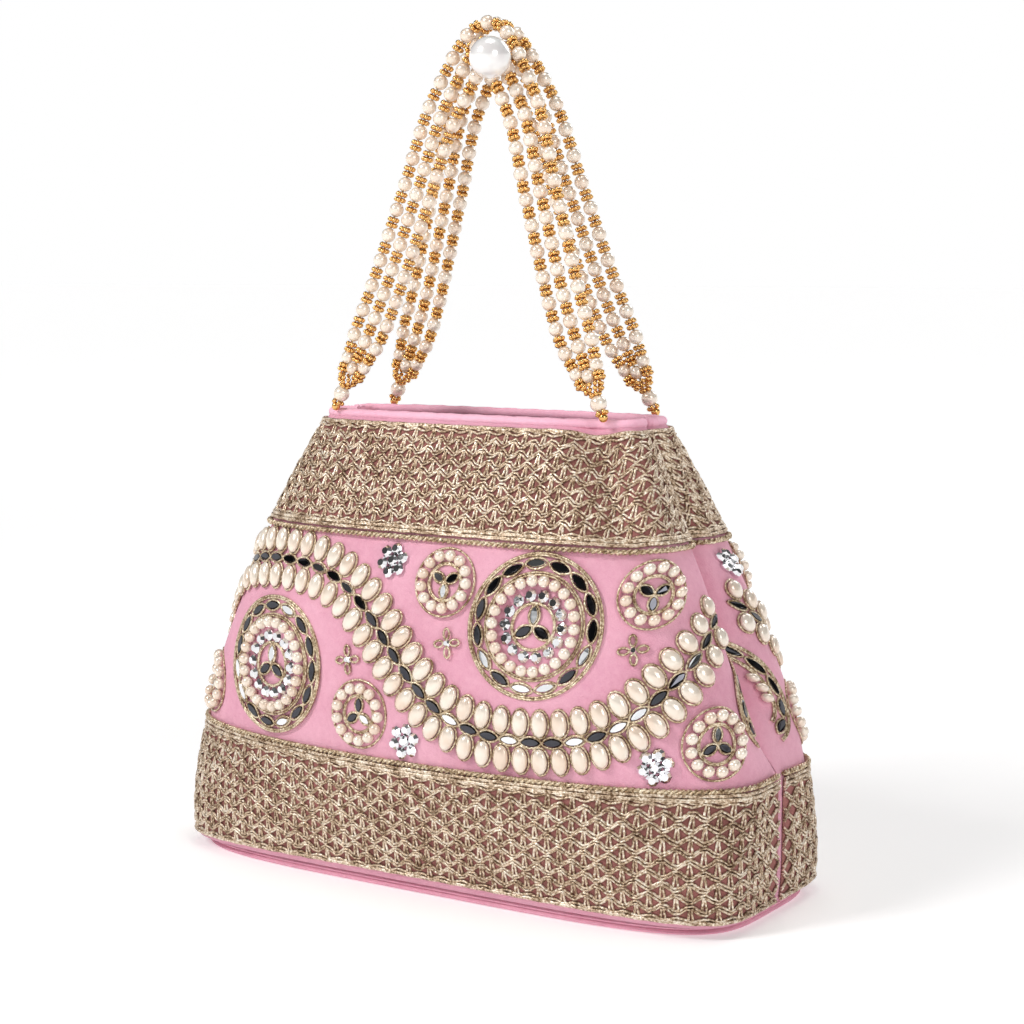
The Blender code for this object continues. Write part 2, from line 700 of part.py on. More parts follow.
def build_snap(finishes):
    """Two round halves of the magnetic snap, on the lining under each rim."""
    z = BODY_HEIGHT - SNAP_DROP
    out = surface_normal(0.0, z)
    inward = PANEL_THICKNESS + LINING_GAP + LINING_THICKNESS + 3 * FIT_GAP + SNAP_THICKNESS / 2
    centre = front_point(0.0, z) - out * inward
    tilt = math.atan2(out.z, -out.y)
    for side, way in (("front", -1), ("back", 1)):
        bm = bmesh.new()
        bmesh.ops.create_cone(bm, cap_ends=True, segments=12, radius1=SNAP_RADIUS,
                              radius2=SNAP_RADIUS * 0.85, depth=SNAP_THICKNESS)
        item = add_object(f"{side}_snap", mesh_from(bm, "snap"), finishes["steel"])
        item.location = (0.0, -way * centre.y, centre.z)
        item.rotation_euler = (way * (tilt - math.pi / 2), 0.0, 0.0)


def hinge_place():
    """Distance of each hinge line from the middle plane, and its height."""
    x, y = outline(BODY_HEIGHT)[:2]
    rim = -float(np.interp(HANDLE_SPREAD, x[:OUTLINE_STEPS], y[:OUTLINE_STEPS]))
    return rim + HINGE_OUT, BODY_HEIGHT + HINGE_UP


def handle_path(offset, samples=240):
    """Evenly sampled line of one strand in the plane of a handle, end to end."""
    rise = np.array((0.0, 0.236, 0.59, 0.85, 1.0)) * HANDLE_RISE
    reach = np.array((1.0, 0.742, 0.461, 0.255, 0.0)) * HANDLE_SPREAD
    x = np.append(-reach, reach[-2::-1])
    h = np.append(rise, rise[-2::-1])
    knots = np.append(0.0, np.cumsum(np.hypot(np.diff(x), np.diff(h))))
    at = np.linspace(0.0, knots[-1], samples)
    fine_x, fine_h = smooth_curve(knots, x, at), smooth_curve(knots, h, at)
    dx, dh = np.gradient(fine_x), np.gradient(fine_h)
    size = np.hypot(dx, dh)
    run = np.append(0.0, np.cumsum(np.hypot(np.diff(fine_x), np.diff(fine_h))))
    from_end = np.minimum(run, run[-1] - run)
    spread = np.clip((from_end - STRAND_START) / STRAND_GATHER_RUN, 0, 1)
    spread = spread * spread * (3 - 2 * spread)
    shift = offset * (STRAND_END_PITCH + (STRAND_PITCH - STRAND_END_PITCH) * spread)
    return fine_x - dh / size * shift, fine_h + dx / size * shift, from_end


def smooth_curve(knots, values, at):
    """Catmull-Rom curve through a few values."""
    slopes = np.gradient(values, knots)
    index = np.clip(np.searchsorted(knots, at) - 1, 0, len(knots) - 2)
    span = knots[index + 1] - knots[index]
    t = (at - knots[index]) / span
    first = (2 * t ** 3 - 3 * t ** 2 + 1) * values[index]
    second = (-2 * t ** 3 + 3 * t ** 2) * values[index + 1]
    lean = (t ** 3 - 2 * t ** 2 + t) * slopes[index] + (t ** 3 - t ** 2) * slopes[index + 1]
    return first + second + lean * span


def strand_points(offset):
    """Points and radii of one beaded strand: a pearl, a waist of spacers, a pearl."""
    x, h, from_end = handle_path(offset)
    run = np.append(0.0, np.cumsum(np.hypot(np.diff(x), np.diff(h))))
    start = np.interp(STRAND_START, run, run)
    length = run[-1] - 2 * start
    periods = int(round(length / BEAD_PERIOD))
    count = 2 * periods
    points = []
    for index in range(count + 1):
        at = start + length * index / count
        end_share = min(index, count - index) / 2
        radius = PEARL_RADIUS if index % 2 else SPACER_RADIUS
        if end_share < 1.5:
            radius = min(radius, STRAND_END_RADIUS)
        points.append((float(np.interp(at, run, x)), float(np.interp(at, run, h)), radius))
    return points


def handle_plane(h):
    """Distance of a handle from the middle plane at a height over its hinge."""
    hinge = hinge_place()[0]
    return hinge + (HANDLE_CROWN_Y - hinge) * h / HANDLE_RISE


def build_strand(name, offset, way, hinge, finishes):
    """One strand of a handle: a string of pearls with narrow spacers between them."""
    y = hinge_place()[0]
    points = strand_points(offset)
    spots = [Vector((x, way * (handle_plane(h) - y), h)) for x, h, radius in points]
    across = Vector((0.0, HANDLE_RISE, -way * (HANDLE_CROWN_Y - y))).normalized()
    rings = []
    for index, spot in enumerate(spots):
        ahead = spots[min(index + 1, len(spots) - 1)] - spots[max(index - 1, 0)]
        side = ahead.cross(across).normalized()
        radius = points[index][2]
        ring = []
        for corner in range(STRAND_SIDES):
            angle = 2 * math.pi * corner / STRAND_SIDES
            ring.append(spot + side * radius * math.cos(angle) + across * radius * math.sin(angle))
        rings.append(ring)
    return add_object(name, loft(name, rings), finishes["pearl"], hinge)


def turned_profile(name, profile, segments=8):
    """Turned solid from a profile of radius and height, top to bottom, by spinning it."""
    bm = bmesh.new()
    verts = [bm.verts.new((radius, 0.0, height)) for radius, height in profile]
    edges = [bm.edges.new(pair) for pair in zip(verts[:-1], verts[1:])]
    bmesh.ops.spin(bm, geom=verts + edges, cent=(0, 0, 0), axis=(0, 0, 1),
                   angle=2 * math.pi, steps=segments, use_merge=True)
    bmesh.ops.remove_doubles(bm, verts=bm.verts, dist=0.01 * MM)
    return mesh_from(bm, name)


def handle_end_profile():
    """Seed bead on the hinge line, end pearl over it and a collar of spacers on top."""
    pearl = SEED_RADIUS + END_PEARL_RADIUS * 0.9
    collar = STRAND_START - COLLAR_HEIGHT - FIT_GAP
    neck = 0.9 * MM
    return ((0.0, -SEED_RADIUS), (SEED_RADIUS * 0.8, -SEED_RADIUS * 0.6), (SEED_RADIUS, 0.0),
            (neck, SEED_RADIUS * 0.8), (END_PEARL_RADIUS * 0.8, pearl - END_PEARL_RADIUS * 0.6),
            (END_PEARL_RADIUS, pearl), (END_PEARL_RADIUS * 0.8, pearl + END_PEARL_RADIUS * 0.6),
            (neck, pearl + END_PEARL_RADIUS * 0.9), (COLLAR_RADIUS, collar),
            (COLLAR_RADIUS, collar + COLLAR_HEIGHT), (0.0, collar + COLLAR_HEIGHT))


def build_handle(side, way, finishes):
    """Three strands, their two ends and the hinge line that they swing about."""
    y, z = hinge_place()
    hinge = bpy.data.objects.new(f"{side}_handle_hinge", None)
    hinge.location = (0.0, way * y, z)
    bpy.context.scene.collection.objects.link(hinge)
    for number in range(STRANDS):
        offset = number - (STRANDS - 1) / 2
        build_strand(f"{side}_handle_strand_{number + 1}", offset, way, hinge, finishes)
    lean = math.atan2(y - HANDLE_CROWN_Y, HANDLE_RISE)
    draw = math.atan2(HANDLE_SPREAD * 0.24, HANDLE_RISE * 0.235)
    mesh = turned_profile("handle_end", handle_end_profile())
    for end, sign in (("left", -1), ("right", 1)):
        item = add_object(f"{side}_handle_{end}_end", mesh, finishes["gold"], hinge)
        item.location = (sign * HANDLE_SPREAD, 0.0, 0.0)
        item.rotation_euler = (way * lean, -sign * draw, 0.0)
    if side == "front":
        build_crown_pearl(hinge, finishes)


def build_crown_pearl(hinge, finishes):
    """Large pearl tied in front of the strands near the crown of the front handle."""
    bm = bmesh.new()
    bmesh.ops.create_uvsphere(bm, u_segments=14, v_segments=8, radius=CROWN_PEARL_RADIUS)
    item = add_object("crown_pearl", mesh_from(bm, "crown_pearl"), finishes["pearl"], hinge)
    height = HANDLE_RISE - CROWN_PEARL_RADIUS
    reach = handle_plane(height) + PEARL_RADIUS + FIT_GAP + CROWN_PEARL_RADIUS
    item.location = (CROWN_PEARL_X, hinge_place()[0] - reach, height)


def main():
    """Build the whole bag."""
    clear_scene()
    finishes = make_finishes()
    build_base(finishes)
    build_lining(finishes)
    build_snap(finishes)
    build_side("front", FRONT_CREST, finishes, turn_back=False)
    build_side("back", BACK_CREST, finishes, turn_back=True)
    build_handle("front", -1, finishes)
    build_handle("back", 1, finishes)


main()
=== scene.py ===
"""Dress of a potli handbag: velvet, zari lace, sewn pearls, mirrors and beaded handles."""

import logging
import math
from dataclasses import dataclass, field
from enum import Enum
from typing import Callable, Iterable, Sequence, Union

import bmesh
import bpy
import numpy as np
from mathutils import Matrix, Vector


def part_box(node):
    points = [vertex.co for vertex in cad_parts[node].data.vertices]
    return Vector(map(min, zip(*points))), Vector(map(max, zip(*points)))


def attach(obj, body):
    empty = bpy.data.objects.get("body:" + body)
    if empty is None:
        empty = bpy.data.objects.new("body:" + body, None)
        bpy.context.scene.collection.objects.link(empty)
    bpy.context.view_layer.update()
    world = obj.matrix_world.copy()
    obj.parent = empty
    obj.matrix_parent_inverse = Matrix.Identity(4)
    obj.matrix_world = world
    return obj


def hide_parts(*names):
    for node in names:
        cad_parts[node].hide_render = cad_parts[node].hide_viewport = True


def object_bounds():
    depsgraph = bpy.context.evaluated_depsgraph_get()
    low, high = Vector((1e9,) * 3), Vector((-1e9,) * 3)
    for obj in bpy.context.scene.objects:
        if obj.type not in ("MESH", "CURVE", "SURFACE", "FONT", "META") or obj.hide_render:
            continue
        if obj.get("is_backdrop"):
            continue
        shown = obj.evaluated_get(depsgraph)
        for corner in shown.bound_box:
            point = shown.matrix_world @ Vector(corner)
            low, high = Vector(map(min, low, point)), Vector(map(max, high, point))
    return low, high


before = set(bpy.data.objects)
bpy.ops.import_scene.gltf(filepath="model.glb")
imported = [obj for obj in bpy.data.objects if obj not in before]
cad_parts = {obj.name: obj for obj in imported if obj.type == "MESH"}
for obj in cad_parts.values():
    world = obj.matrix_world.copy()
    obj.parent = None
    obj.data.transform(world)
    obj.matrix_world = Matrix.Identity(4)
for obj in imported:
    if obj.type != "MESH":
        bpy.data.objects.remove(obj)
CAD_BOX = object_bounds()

MM = 0.001
LOG = logging.getLogger("potli")
BAG = "bag"
Colour = tuple[float, float, float]


class Side(Enum):
    """The two halves of the bag: name, turn about the upright axis, first wave crest."""

    FRONT = ("front", 1.0, -50.0 * MM)
    BACK = ("back", -1.0, -120.0 * MM)

    @property
    def label(self) -> str:
        """Name of the half."""
        return self.value[0]

    @property
    def turn(self) -> float:
        """Sign that turns a front point to this half."""
        return self.value[1]

    @property
    def crest(self) -> float:
        """Cloth length of the first crest of the embroidered wave."""
        return self.value[2]


class Slot(Enum):
    """Material slots listed for the new pieces; no piece is given one."""

    VELVET = "velvet"
    BINDING = "binding_velvet"
    LACE = "zari_lace"
    CORD = "zari_cord"
    PEARL = "pearl"
    GOLD = "bead_gold"
    MIRROR = "mirror_foil"
    SATIN = "lining_satin"


# Shader maths


class Value:
    """A socket that takes part in arithmetic."""

    def __init__(self, tree: bpy.types.NodeTree, socket: bpy.types.NodeSocket) -> None:
        """Wrap a socket of a node tree.

        Args:
            tree: Node tree.
            socket: Socket of one of its nodes.
        """
        self.tree = tree
        self.socket = socket

    def _math(self, operation: str, first: "Term", second: "Term" = 0.0) -> "Value":
        """Add one Math node.

        Args:
            operation: Kind of Math node.
            first: First term.
            second: Second term.

        Returns:
            The result.
        """
        node = self.tree.nodes.new("ShaderNodeMath")
        node.operation = operation
        for place, term in zip(node.inputs, (first, second)):
            if isinstance(term, Value):
                self.tree.links.new(term.socket, place)
            else:
                place.default_value = term
        return Value(self.tree, node.outputs[0])

    def __add__(self, other: "Term") -> "Value":
        """Sum."""
        return self._math("ADD", self, other)

    def __radd__(self, other: "Term") -> "Value":
        """Reflected sum."""
        return self._math("ADD", other, self)

    def __sub__(self, other: "Term") -> "Value":
        """Difference."""
        return self._math("SUBTRACT", self, other)

    def __rsub__(self, other: "Term") -> "Value":
        """Reflected difference."""
        return self._math("SUBTRACT", other, self)

    def __mul__(self, other: "Term") -> "Value":
        """Product."""
        return self._math("MULTIPLY", self, other)

    def __rmul__(self, other: "Term") -> "Value":
        """Reflected product."""
        return self._math("MULTIPLY", other, self)


Term = Union[Value, float]


class Recipe:
    """A material with one Principled shader, filled by expressions."""

    def __init__(self, name: str) -> None:
        """Start an empty material.

        Args:
            name: Name of the material.
        """
        self.material = bpy.data.materials.new(name)
        self.material.use_nodes = True
        self.tree = self.material.node_tree
        self.shader = self.tree.nodes["Principled BSDF"]

    def node(self, kind: str, output: Union[int, str] = 0, settings: dict | None = None,
             **inputs: object) -> Value:
        """Add any node.

        Args:
            kind: Type of the node without its ShaderNode prefix.
            output: Output socket that is returned.
            settings: Properties that are set first, with ramp stops under "stops".
            inputs: Sockets by name, with underscores for spaces.

        Returns:
            The chosen output.
        """
        made = self.tree.nodes.new("ShaderNode" + kind)
        for key, setting in (settings or {}).items():
            if key == "stops":
                self.fill_ramp(made.color_ramp, setting)
            else:
                setattr(made, key, setting)
        for key, term in inputs.items():
            self._feed(self._input(made, key), term)
        return Value(self.tree, made.outputs[output])

    @staticmethod
    def fill_ramp(ramp: bpy.types.ColorRamp, stops: Sequence[tuple[float, Colour]]) -> None:
        """Set the stops of a colour ramp."""
        while len(ramp.elements) < len(stops):
            ramp.elements.new(0.5)
        for element, (place, colour) in zip(ramp.elements, stops):
            element.position = place
            element.color = (*colour, 1.0)

    @staticmethod
    def _input(made: bpy.types.Node, key: str) -> bpy.types.NodeSocket:
        """Find an input that is enabled by its name."""
        name = key.replace("_", " ")
        return next(item for item in made.inputs if item.name == name and item.enabled)

    def _feed(self, socket: bpy.types.NodeSocket, term: object) -> None:
        """Link or set a socket.

        Args:
            socket: Socket of a node.
            term: A value to link, or a number or colour to set.
        """
        if isinstance(term, Value):
            self.tree.links.new(term.socket, socket)
        elif isinstance(term, tuple) and len(term) == 3 and socket.type == "RGBA":
            socket.default_value = (*term, 1.0)
        else:
            socket.default_value = term

    def place(self) -> Value:
        """Object coordinates."""
        return self.node("TexCoord", output="Object")

    def noise(self, scale: float, detail: float = 2.0, where: Value | None = None) -> Value:
        """Noise on Object coordinates, from 0 to 1.

        Args:
            scale: Waves to the metre.
            detail: Finer layers.
            where: Coordinates, if not the object's.

        Returns:
            The noise.
        """
        return self.node("TexNoise", Vector=where or self.place(), Scale=scale, Detail=detail)

    def mix(self, share: Term, first: object, second: object) -> Value:
        """Blend of two colours.

        Args:
            share: Share of the second colour.
            first: First colour.
            second: Second colour.

        Returns:
            The blend.
        """
        return self.node("Mix", output=2, settings={"data_type": "RGBA"},
                         Factor=share, A=first, B=second)

    def ramp(self, share: Value, *stops: tuple[float, Colour]) -> Value:
        """Colour ramp over a number.

        Args:
            share: Number that is looked up.
            stops: Places and colours.

        Returns:
            The colour.
        """
        return self.node("ValToRGB", settings={"stops": stops}, Fac=share)

    def bump(self, height: Value, strength: float, distance: float) -> None:
        """Feed the shader's normal from a height.

        Args:
            height: Height over the surface.
            strength: Strength of the relief.
            distance: Depth of the relief in metres.
        """
        self.set(Normal=self.node("Bump", Height=height, Strength=strength, Distance=distance))

    def set(self, **inputs: object) -> "Recipe":
        """Set or link sockets of the shader."""
        for key, term in inputs.items():
            self._feed(self.shader.inputs[key.replace("_", " ")], term)
        return self


# Finishes


@dataclass(frozen=True)
class Velvet:
    """Short pile with a soft sheen and faint brushed patches."""

    name: str
    light: Colour
    deep: Colour
    sheen: float = 0.55

    def make(self) -> bpy.types.Material:
        """Build the material.

        Returns:
            The material.
        """
        recipe = Recipe(self.name)
        brushed = recipe.noise(38.0, 3.0)
        pile = recipe.noise(2600.0, 2.0)
        grain = recipe.noise(620.0, 3.0)
        share = brushed * 0.55 + grain * 0.3 + pile * 0.25 - 0.05
        recipe.set(Base_Color=recipe.ramp(share, (0.25, self.deep), (0.75, self.light)),
                   Roughness=0.85, Sheen_Weight=self.sheen, Sheen_Roughness=0.4,
                   Sheen_Tint=(1.0, 0.78, 0.88), Specular_IOR_Level=0.2)
        recipe.bump(pile * 0.6 + grain * 0.4, 0.5, 0.0004)
        return recipe.material


@dataclass(frozen=True)
class Zari:
    """Metal-wrapped thread with fine turns of painted highlight and painted shade round its own
    gold.
    """

    name: str
    light: Colour
    middle: Colour
    deep: Colour
    metallic: float = 0.55
    turns: float = 1500.0

    def make(self) -> bpy.types.Material:
        """Build the material.

        Returns:
            The material.
        """
        recipe = Recipe(self.name)
        wrap = recipe.noise(self.turns, 2.0)
        patch = recipe.noise(260.0, 3.0)
        share = wrap * 0.62 + patch * 0.38
        # Deep is painted shade between the turns, light a painted highlight, middle the thread's
        # own gold.
        colour = recipe.ramp(share, (0.38, self.deep), (0.5, self.middle), (0.62, self.light))
        recipe.set(Base_Color=colour, Metallic=self.metallic, Roughness=0.5 - wrap * 0.3)
        recipe.bump(wrap, 0.8, 0.0003)
        return recipe.material


@dataclass(frozen=True)
class PearlCoat:
    """Nacre coat over a bead, with faint cloudy rings."""

    name: str
    light: Colour
    warm: Colour
    metallic: float = 0.22

    def make(self) -> bpy.types.Material:
        """Build the material.

        Returns:
            The material.
        """
        recipe = Recipe(self.name)
        cloud = recipe.noise(180.0, 2.0)
        colour = recipe.ramp(cloud, (0.35, self.warm), (0.6, self.light))
        recipe.set(Base_Color=colour, Roughness=0.16 + cloud * 0.12, Metallic=self.metallic,
                   Specular_IOR_Level=0.7, Coat_Weight=0.7, Coat_Roughness=0.06)
        return recipe.material


@dataclass(frozen=True)
class Foil:
    """Polished metal or mirror with slight unevenness."""

    name: str
    colour: Colour
    dark: Colour
    rough: float
    scale: float = 420.0

    def make(self) -> bpy.types.Material:
        """Build the material.

        Returns:
            The material.
        """
        recipe = Recipe(self.name)
        cloud = recipe.noise(self.scale, 2.0)
        recipe.set(Base_Color=recipe.mix(cloud, self.dark, self.colour), Metallic=1.0,
                   Roughness=self.rough + cloud * 0.1)
        recipe.bump(cloud, 0.15, 0.0002)
        return recipe.material


@dataclass(frozen=True)
class Satin:
    """Smooth woven lining with faint creases, its colour darker in their hollows as painted
    shade.
    """

    name: str
    light: Colour
    deep: Colour

    def make(self) -> bpy.types.Material:
        """Build the material.

        Returns:
            The material.
        """
        recipe = Recipe(self.name)
        crease_and_shade = recipe.noise(60.0, 2.0)
        weave = recipe.noise(1800.0, 1.0)
        # Colour follows the crease height: darker in the hollows, as painted shade.
        recipe.set(Base_Color=recipe.mix(crease_and_shade, self.deep, self.light),
                   Roughness=0.38 + weave * 0.15, Sheen_Weight=0.3)
        recipe.bump(crease_and_shade + weave * 0.1, 0.4, 0.0012)
        return recipe.material


@dataclass(frozen=True)
class Board:
    """Pressed fibre board."""

    name: str
    colour: Colour

    def make(self) -> bpy.types.Material:
        """Build the material.

        Returns:
            The material.
        """
        recipe = Recipe(self.name)
        fibre = recipe.noise(700.0, 4.0)
        recipe.set(Base_Color=recipe.mix(fibre, self.colour, (0.5, 0.47, 0.43)), Roughness=0.9)
        recipe.bump(fibre, 0.3, 0.0004)
        return recipe.material


@dataclass
class Wardrobe:
    """Every finish of the bag, made once."""

    velvet: bpy.types.Material = field(default_factory=lambda: Velvet(
        "pink_velvet", (0.87, 0.48, 0.58), (0.70, 0.30, 0.41), 0.3).make())
    binding: bpy.types.Material = field(default_factory=lambda: Velvet(
        "rim_velvet", (0.98, 0.60, 0.72), (0.90, 0.42, 0.56), 0.3).make())
    # Net under the lace: partly its own brownish pink, partly painted shade where the velvet
    # shows through the lace.
    ground: bpy.types.Material = field(default_factory=lambda: Velvet(
        "lace_net_painted_shade", (0.46, 0.19, 0.17), (0.15, 0.055, 0.045), 0.1).make())
    # Lace and cord zari: near-white painted highlight, dark brown painted shade, the thread's own
    # gold between.
    lace: bpy.types.Material = field(default_factory=lambda: Zari(
        "lace_zari", (1.0, 0.91, 0.77), (0.64, 0.48, 0.33), (0.18, 0.10, 0.05), 0.5).make())
    cord: bpy.types.Material = field(default_factory=lambda: Zari(
        "cord_zari", (0.94, 0.82, 0.62), (0.58, 0.44, 0.28), (0.22, 0.13, 0.06), 0.45).make())
    pearl: bpy.types.Material = field(default_factory=lambda: PearlCoat(
        "cream_pearl", (0.93, 0.83, 0.71), (0.86, 0.69, 0.55)).make())
    white_pearl: bpy.types.Material = field(default_factory=lambda: PearlCoat(
        "white_pearl", (0.93, 0.92, 0.90), (0.84, 0.80, 0.79), 0.2).make())
    gold: bpy.types.Material = field(default_factory=lambda: Foil(
        "bead_gold_coat", (0.93, 0.60, 0.24), (0.66, 0.33, 0.09), 0.16, 900.0).make())
    mirror: bpy.types.Material = field(default_factory=lambda: Foil(
        "mirror_glass", (0.92, 0.93, 0.94), (0.74, 0.76, 0.78), 0.02, 260.0).make())
    # Copy of the mirror glass whose near-black colour is a painted reflection.
    dark_mirror: bpy.types.Material = field(default_factory=lambda: Foil(
        "dark_mirror_glass", (0.10, 0.10, 0.11), (0.05, 0.05, 0.06), 0.02, 260.0).make())
    stone: bpy.types.Material = field(default_factory=lambda: Foil(
        "foil_stone", (0.97, 0.97, 0.97), (0.75, 0.75, 0.78), 0.03, 700.0).make())
    satin: bpy.types.Material = field(default_factory=lambda: Satin(
        "lining_satin", (0.88, 0.48, 0.60), (0.70, 0.28, 0.42)).make())
    board: bpy.types.Material = field(default_factory=lambda: Board(
        "fibre_board", (0.30, 0.28, 0.26)).make())
    steel: bpy.types.Material = field(default_factory=lambda: Foil(
        "snap_metal", (0.80, 0.78, 0.72), (0.55, 0.53, 0.48), 0.25).make())


# Surface of the pouch


def ease(value: np.ndarray | float) -> np.ndarray:
    """Smooth step from 0 to 1."""
    value = np.clip(value, 0.0, 1.0)
    return value * value * (3.0 - 2.0 * value)


@dataclass
class Pouch:
    """Outer face of the bag as one surface of cloth length and height."""

    base_width: float = 178.2 * MM
    belly_width: float = 181.2 * MM
    rim_width: float = 100.6 * MM
    base_depth: float = 73.4 * MM
    belly_depth: float = 84.8 * MM
    rim_depth: float = 27.8 * MM
    height: float = 130.4 * MM
    belly_height: float = 36.7 * MM
    base_round: float = 15.0 * MM
    width_taper: float = 1.16
    depth_taper: float = 2.2
    base_squareness: float = 4.4
    belly_squareness: float = 2.1
    rim_squareness: float = 3.9
    belly_ridge: float = 13.1 * MM
    rim_ridge: float = 3.8 * MM
    fold_depth: float = 12.0 * MM
    fold_start: float = 34.0 * MM
    fold_run: float = 24.0 * MM
    fold_ease_height: float = 92.0 * MM
    rim_fold_share: float = 0.5
    seam_half_gap: float = 0.15 * MM
    gather_depth: float = 2.2 * MM
    gather_share: float = 0.73
    gather_width: float = 5.0 * MM
    gather_start: float = 90.0 * MM
    gather_run: float = 26.0 * MM
    steps: int = 160
    fold_steps: int = 30
    row_step: float = 0.8 * MM
    length_step: float = 0.25 * MM
    reach: float = 140.0 * MM

    def __post_init__(self) -> None:
        """Tabulate the outline at every row once."""
        self.rows = np.arange(0.0, self.height + 0.5 * self.row_step, self.row_step)
        self.lengths = np.arange(0.0, self.reach, self.length_step)
        tables = [self._outline(z) for z in self.rows]
        self.table_x = np.array([np.interp(self.lengths, run, x) for x, y, run in tables])
        self.table_y = np.array([np.interp(self.lengths, run, y) for x, y, run in tables])
        self.ridges = np.array([run[self.steps] for x, y, run in tables])
        self.seams = np.array([run[-1] for x, y, run in tables])

    def sizes(self, z: float) -> tuple[float, float, float, float, float]:
        """Half width, half depth, ridge, fold and squareness at a height.

        Args:
            z: Height.

        Returns:
            The five sizes.
        """
        above = min(max((z - self.belly_height) / (self.height - self.belly_height), 0.0), 1.0)
        below = min(max(z / self.belly_height, 0.0), 1.0)
        foot = (1.0 - min(max(z / self.base_round, 0.0), 1.0)) ** 2
        width = self.belly_width - (self.belly_width - self.rim_width) * above ** self.width_taper
        width -= (self.belly_width - self.base_width) * foot
        if z > self.belly_height:
            depth = self.belly_depth
            depth -= (self.belly_depth - self.rim_depth) * above ** self.depth_taper
            power = self.belly_squareness
            power += (self.rim_squareness - self.belly_squareness) * above
        else:
            depth = self.base_depth
            depth += (self.belly_depth - self.base_depth) * math.sin(math.pi / 2 * below)
            power = self.base_squareness
            power += (self.belly_squareness - self.base_squareness) * below
        ridge = self.belly_ridge - (self.belly_ridge - self.rim_ridge) * above
        opening = float(ease((z - self.fold_ease_height) / (self.height - self.fold_ease_height)))
        fold = self.fold_depth * float(ease((z - self.fold_start) / self.fold_run))
        fold *= 1.0 - (1.0 - self.rim_fold_share) * opening
        return width / 2, depth / 2, ridge, fold, power

    def _outline(self, z: float) -> tuple[np.ndarray, np.ndarray, np.ndarray]:
        """Right half of the front outline at a height, with its running length.

        Args:
            z: Height.

        Returns:
            Places across, places outwards and running length.
        """
        width, depth, ridge, fold, power = self.sizes(z)
        turn = np.linspace(0.0, 1.0, self.steps + 1) ** 0.8 * math.pi / 2
        tuck = np.linspace(0.0, 1.0, self.fold_steps + 1)[1:] * math.pi / 2
        x = np.append(width * np.sin(turn) ** (2 / power), width - fold * (1 - np.cos(tuck)))
        y = np.append(-ridge - (depth - ridge) * np.clip(np.cos(turn), 0, 1) ** (2 / power),
                      -ridge + (ridge - self.seam_half_gap) * np.sin(tuck))
        return x, y, np.append(0.0, np.cumsum(np.hypot(np.diff(x), np.diff(y))))

    def ridge(self, z: np.ndarray | float) -> np.ndarray:
        """Cloth length from the middle to the side ridge."""
        return np.interp(z, self.rows, self.ridges)

    def seam(self, z: np.ndarray | float) -> np.ndarray:
        """Cloth length from the middle to the side seam."""
        return np.interp(z, self.rows, self.seams)

    def length(self, share: np.ndarray | float, z: np.ndarray | float) -> np.ndarray:
        """Cloth length at a share: 1 is the ridge and 2 the seam.

        Args:
            share: Shares of the way, with the sign of the side.
            z: Heights.

        Returns:
            Cloth lengths.
        """
        size = np.abs(share)
        ridge, seam = self.ridge(z), self.seam(z)
        run = np.where(size <= 1.0, size * ridge, ridge + (size - 1.0) * (seam - ridge))
        return np.sign(share) * run

    def point(self, s: np.ndarray, z: np.ndarray) -> np.ndarray:
        """Points of the plain surface, one row each.

        Args:
            s: Cloth lengths from the middle of the half.
            z: Heights.

        Returns:
            Points of the front half.
        """
        s, z = np.broadcast_arrays(np.asarray(s, float), np.asarray(z, float))
        level = np.clip(z / self.row_step, 0, len(self.rows) - 1.001)
        run = np.clip(np.abs(s) / self.length_step, 0, len(self.lengths) - 1.001)
        row, column = level.astype(int), run.astype(int)
        up, along = level - row, run - column
        spots = []
        for table in (self.table_x, self.table_y):
            low = table[row, column] * (1 - along) + table[row, column + 1] * along
            high = table[row + 1, column] * (1 - along) + table[row + 1, column + 1] * along
            spots.append(low * (1 - up) + high * up)
        return np.stack((np.sign(s + 1e-12) * spots[0], spots[1], z), axis=-1)

    def normal(self, s: np.ndarray, z: np.ndarray) -> np.ndarray:
        """Outward directions of the plain surface.

        Args:
            s: Cloth lengths from the middle of the half.
            z: Heights.

        Returns:
            Directions of length 1.
        """
        s, z = np.broadcast_arrays(np.asarray(s, float), np.asarray(z, float))
        step = 0.5 * MM
        limit = self.seam(z) - step
        s = np.clip(s, -limit, limit)
        low, high = np.clip(z - step, 0, None), np.clip(z + step, None, self.height)
        along = self.point(s + step, z) - self.point(s - step, z)
        out = np.cross(along, self.point(s, high) - self.point(s, low))
        return out / np.maximum(np.linalg.norm(out, axis=-1, keepdims=True), 1e-12)

    def gather(self, s: np.ndarray, z: np.ndarray) -> np.ndarray:
        """Depth of the soft gather beside the right handle end.

        Args:
            s: Cloth lengths from the middle of the half.
            z: Heights.

        Returns:
            Depths into the bag.
        """
        middle = self.gather_share * self.ridge(z)
        valley = np.exp(-((s - middle) / self.gather_width) ** 2)
        crest = np.exp(-((s - middle - 2.1 * self.gather_width) / (1.1 * self.gather_width)) ** 2)
        second = np.exp(-((s - middle + 2.4 * self.gather_width) / self.gather_width) ** 2)
        loose = ease((self.height - z) / (12 * MM))
        across = (1.0 + 0.9 * loose) * valley - 0.7 * loose * crest - 0.5 * loose * second
        return self.gather_depth * across * ease((z - self.gather_start) / self.gather_run)

    def lifted(self, side: Side, s: np.ndarray, z: np.ndarray,
               lift: np.ndarray | float = 0.0) -> np.ndarray:
        """Points at a lift over the cloth of one half.

        Args:
            side: Half of the bag.
            s: Cloth lengths from the middle of the half.
            z: Heights.
            lift: Distances out from the cloth.

        Returns:
            Points in the frame of the bag, one row each.
        """
        rise = np.asarray(lift - self.gather(s, z))[..., None]
        points = self.point(s, z) + self.normal(s, z) * rise
        points[..., 0:2] *= side.turn
        return points

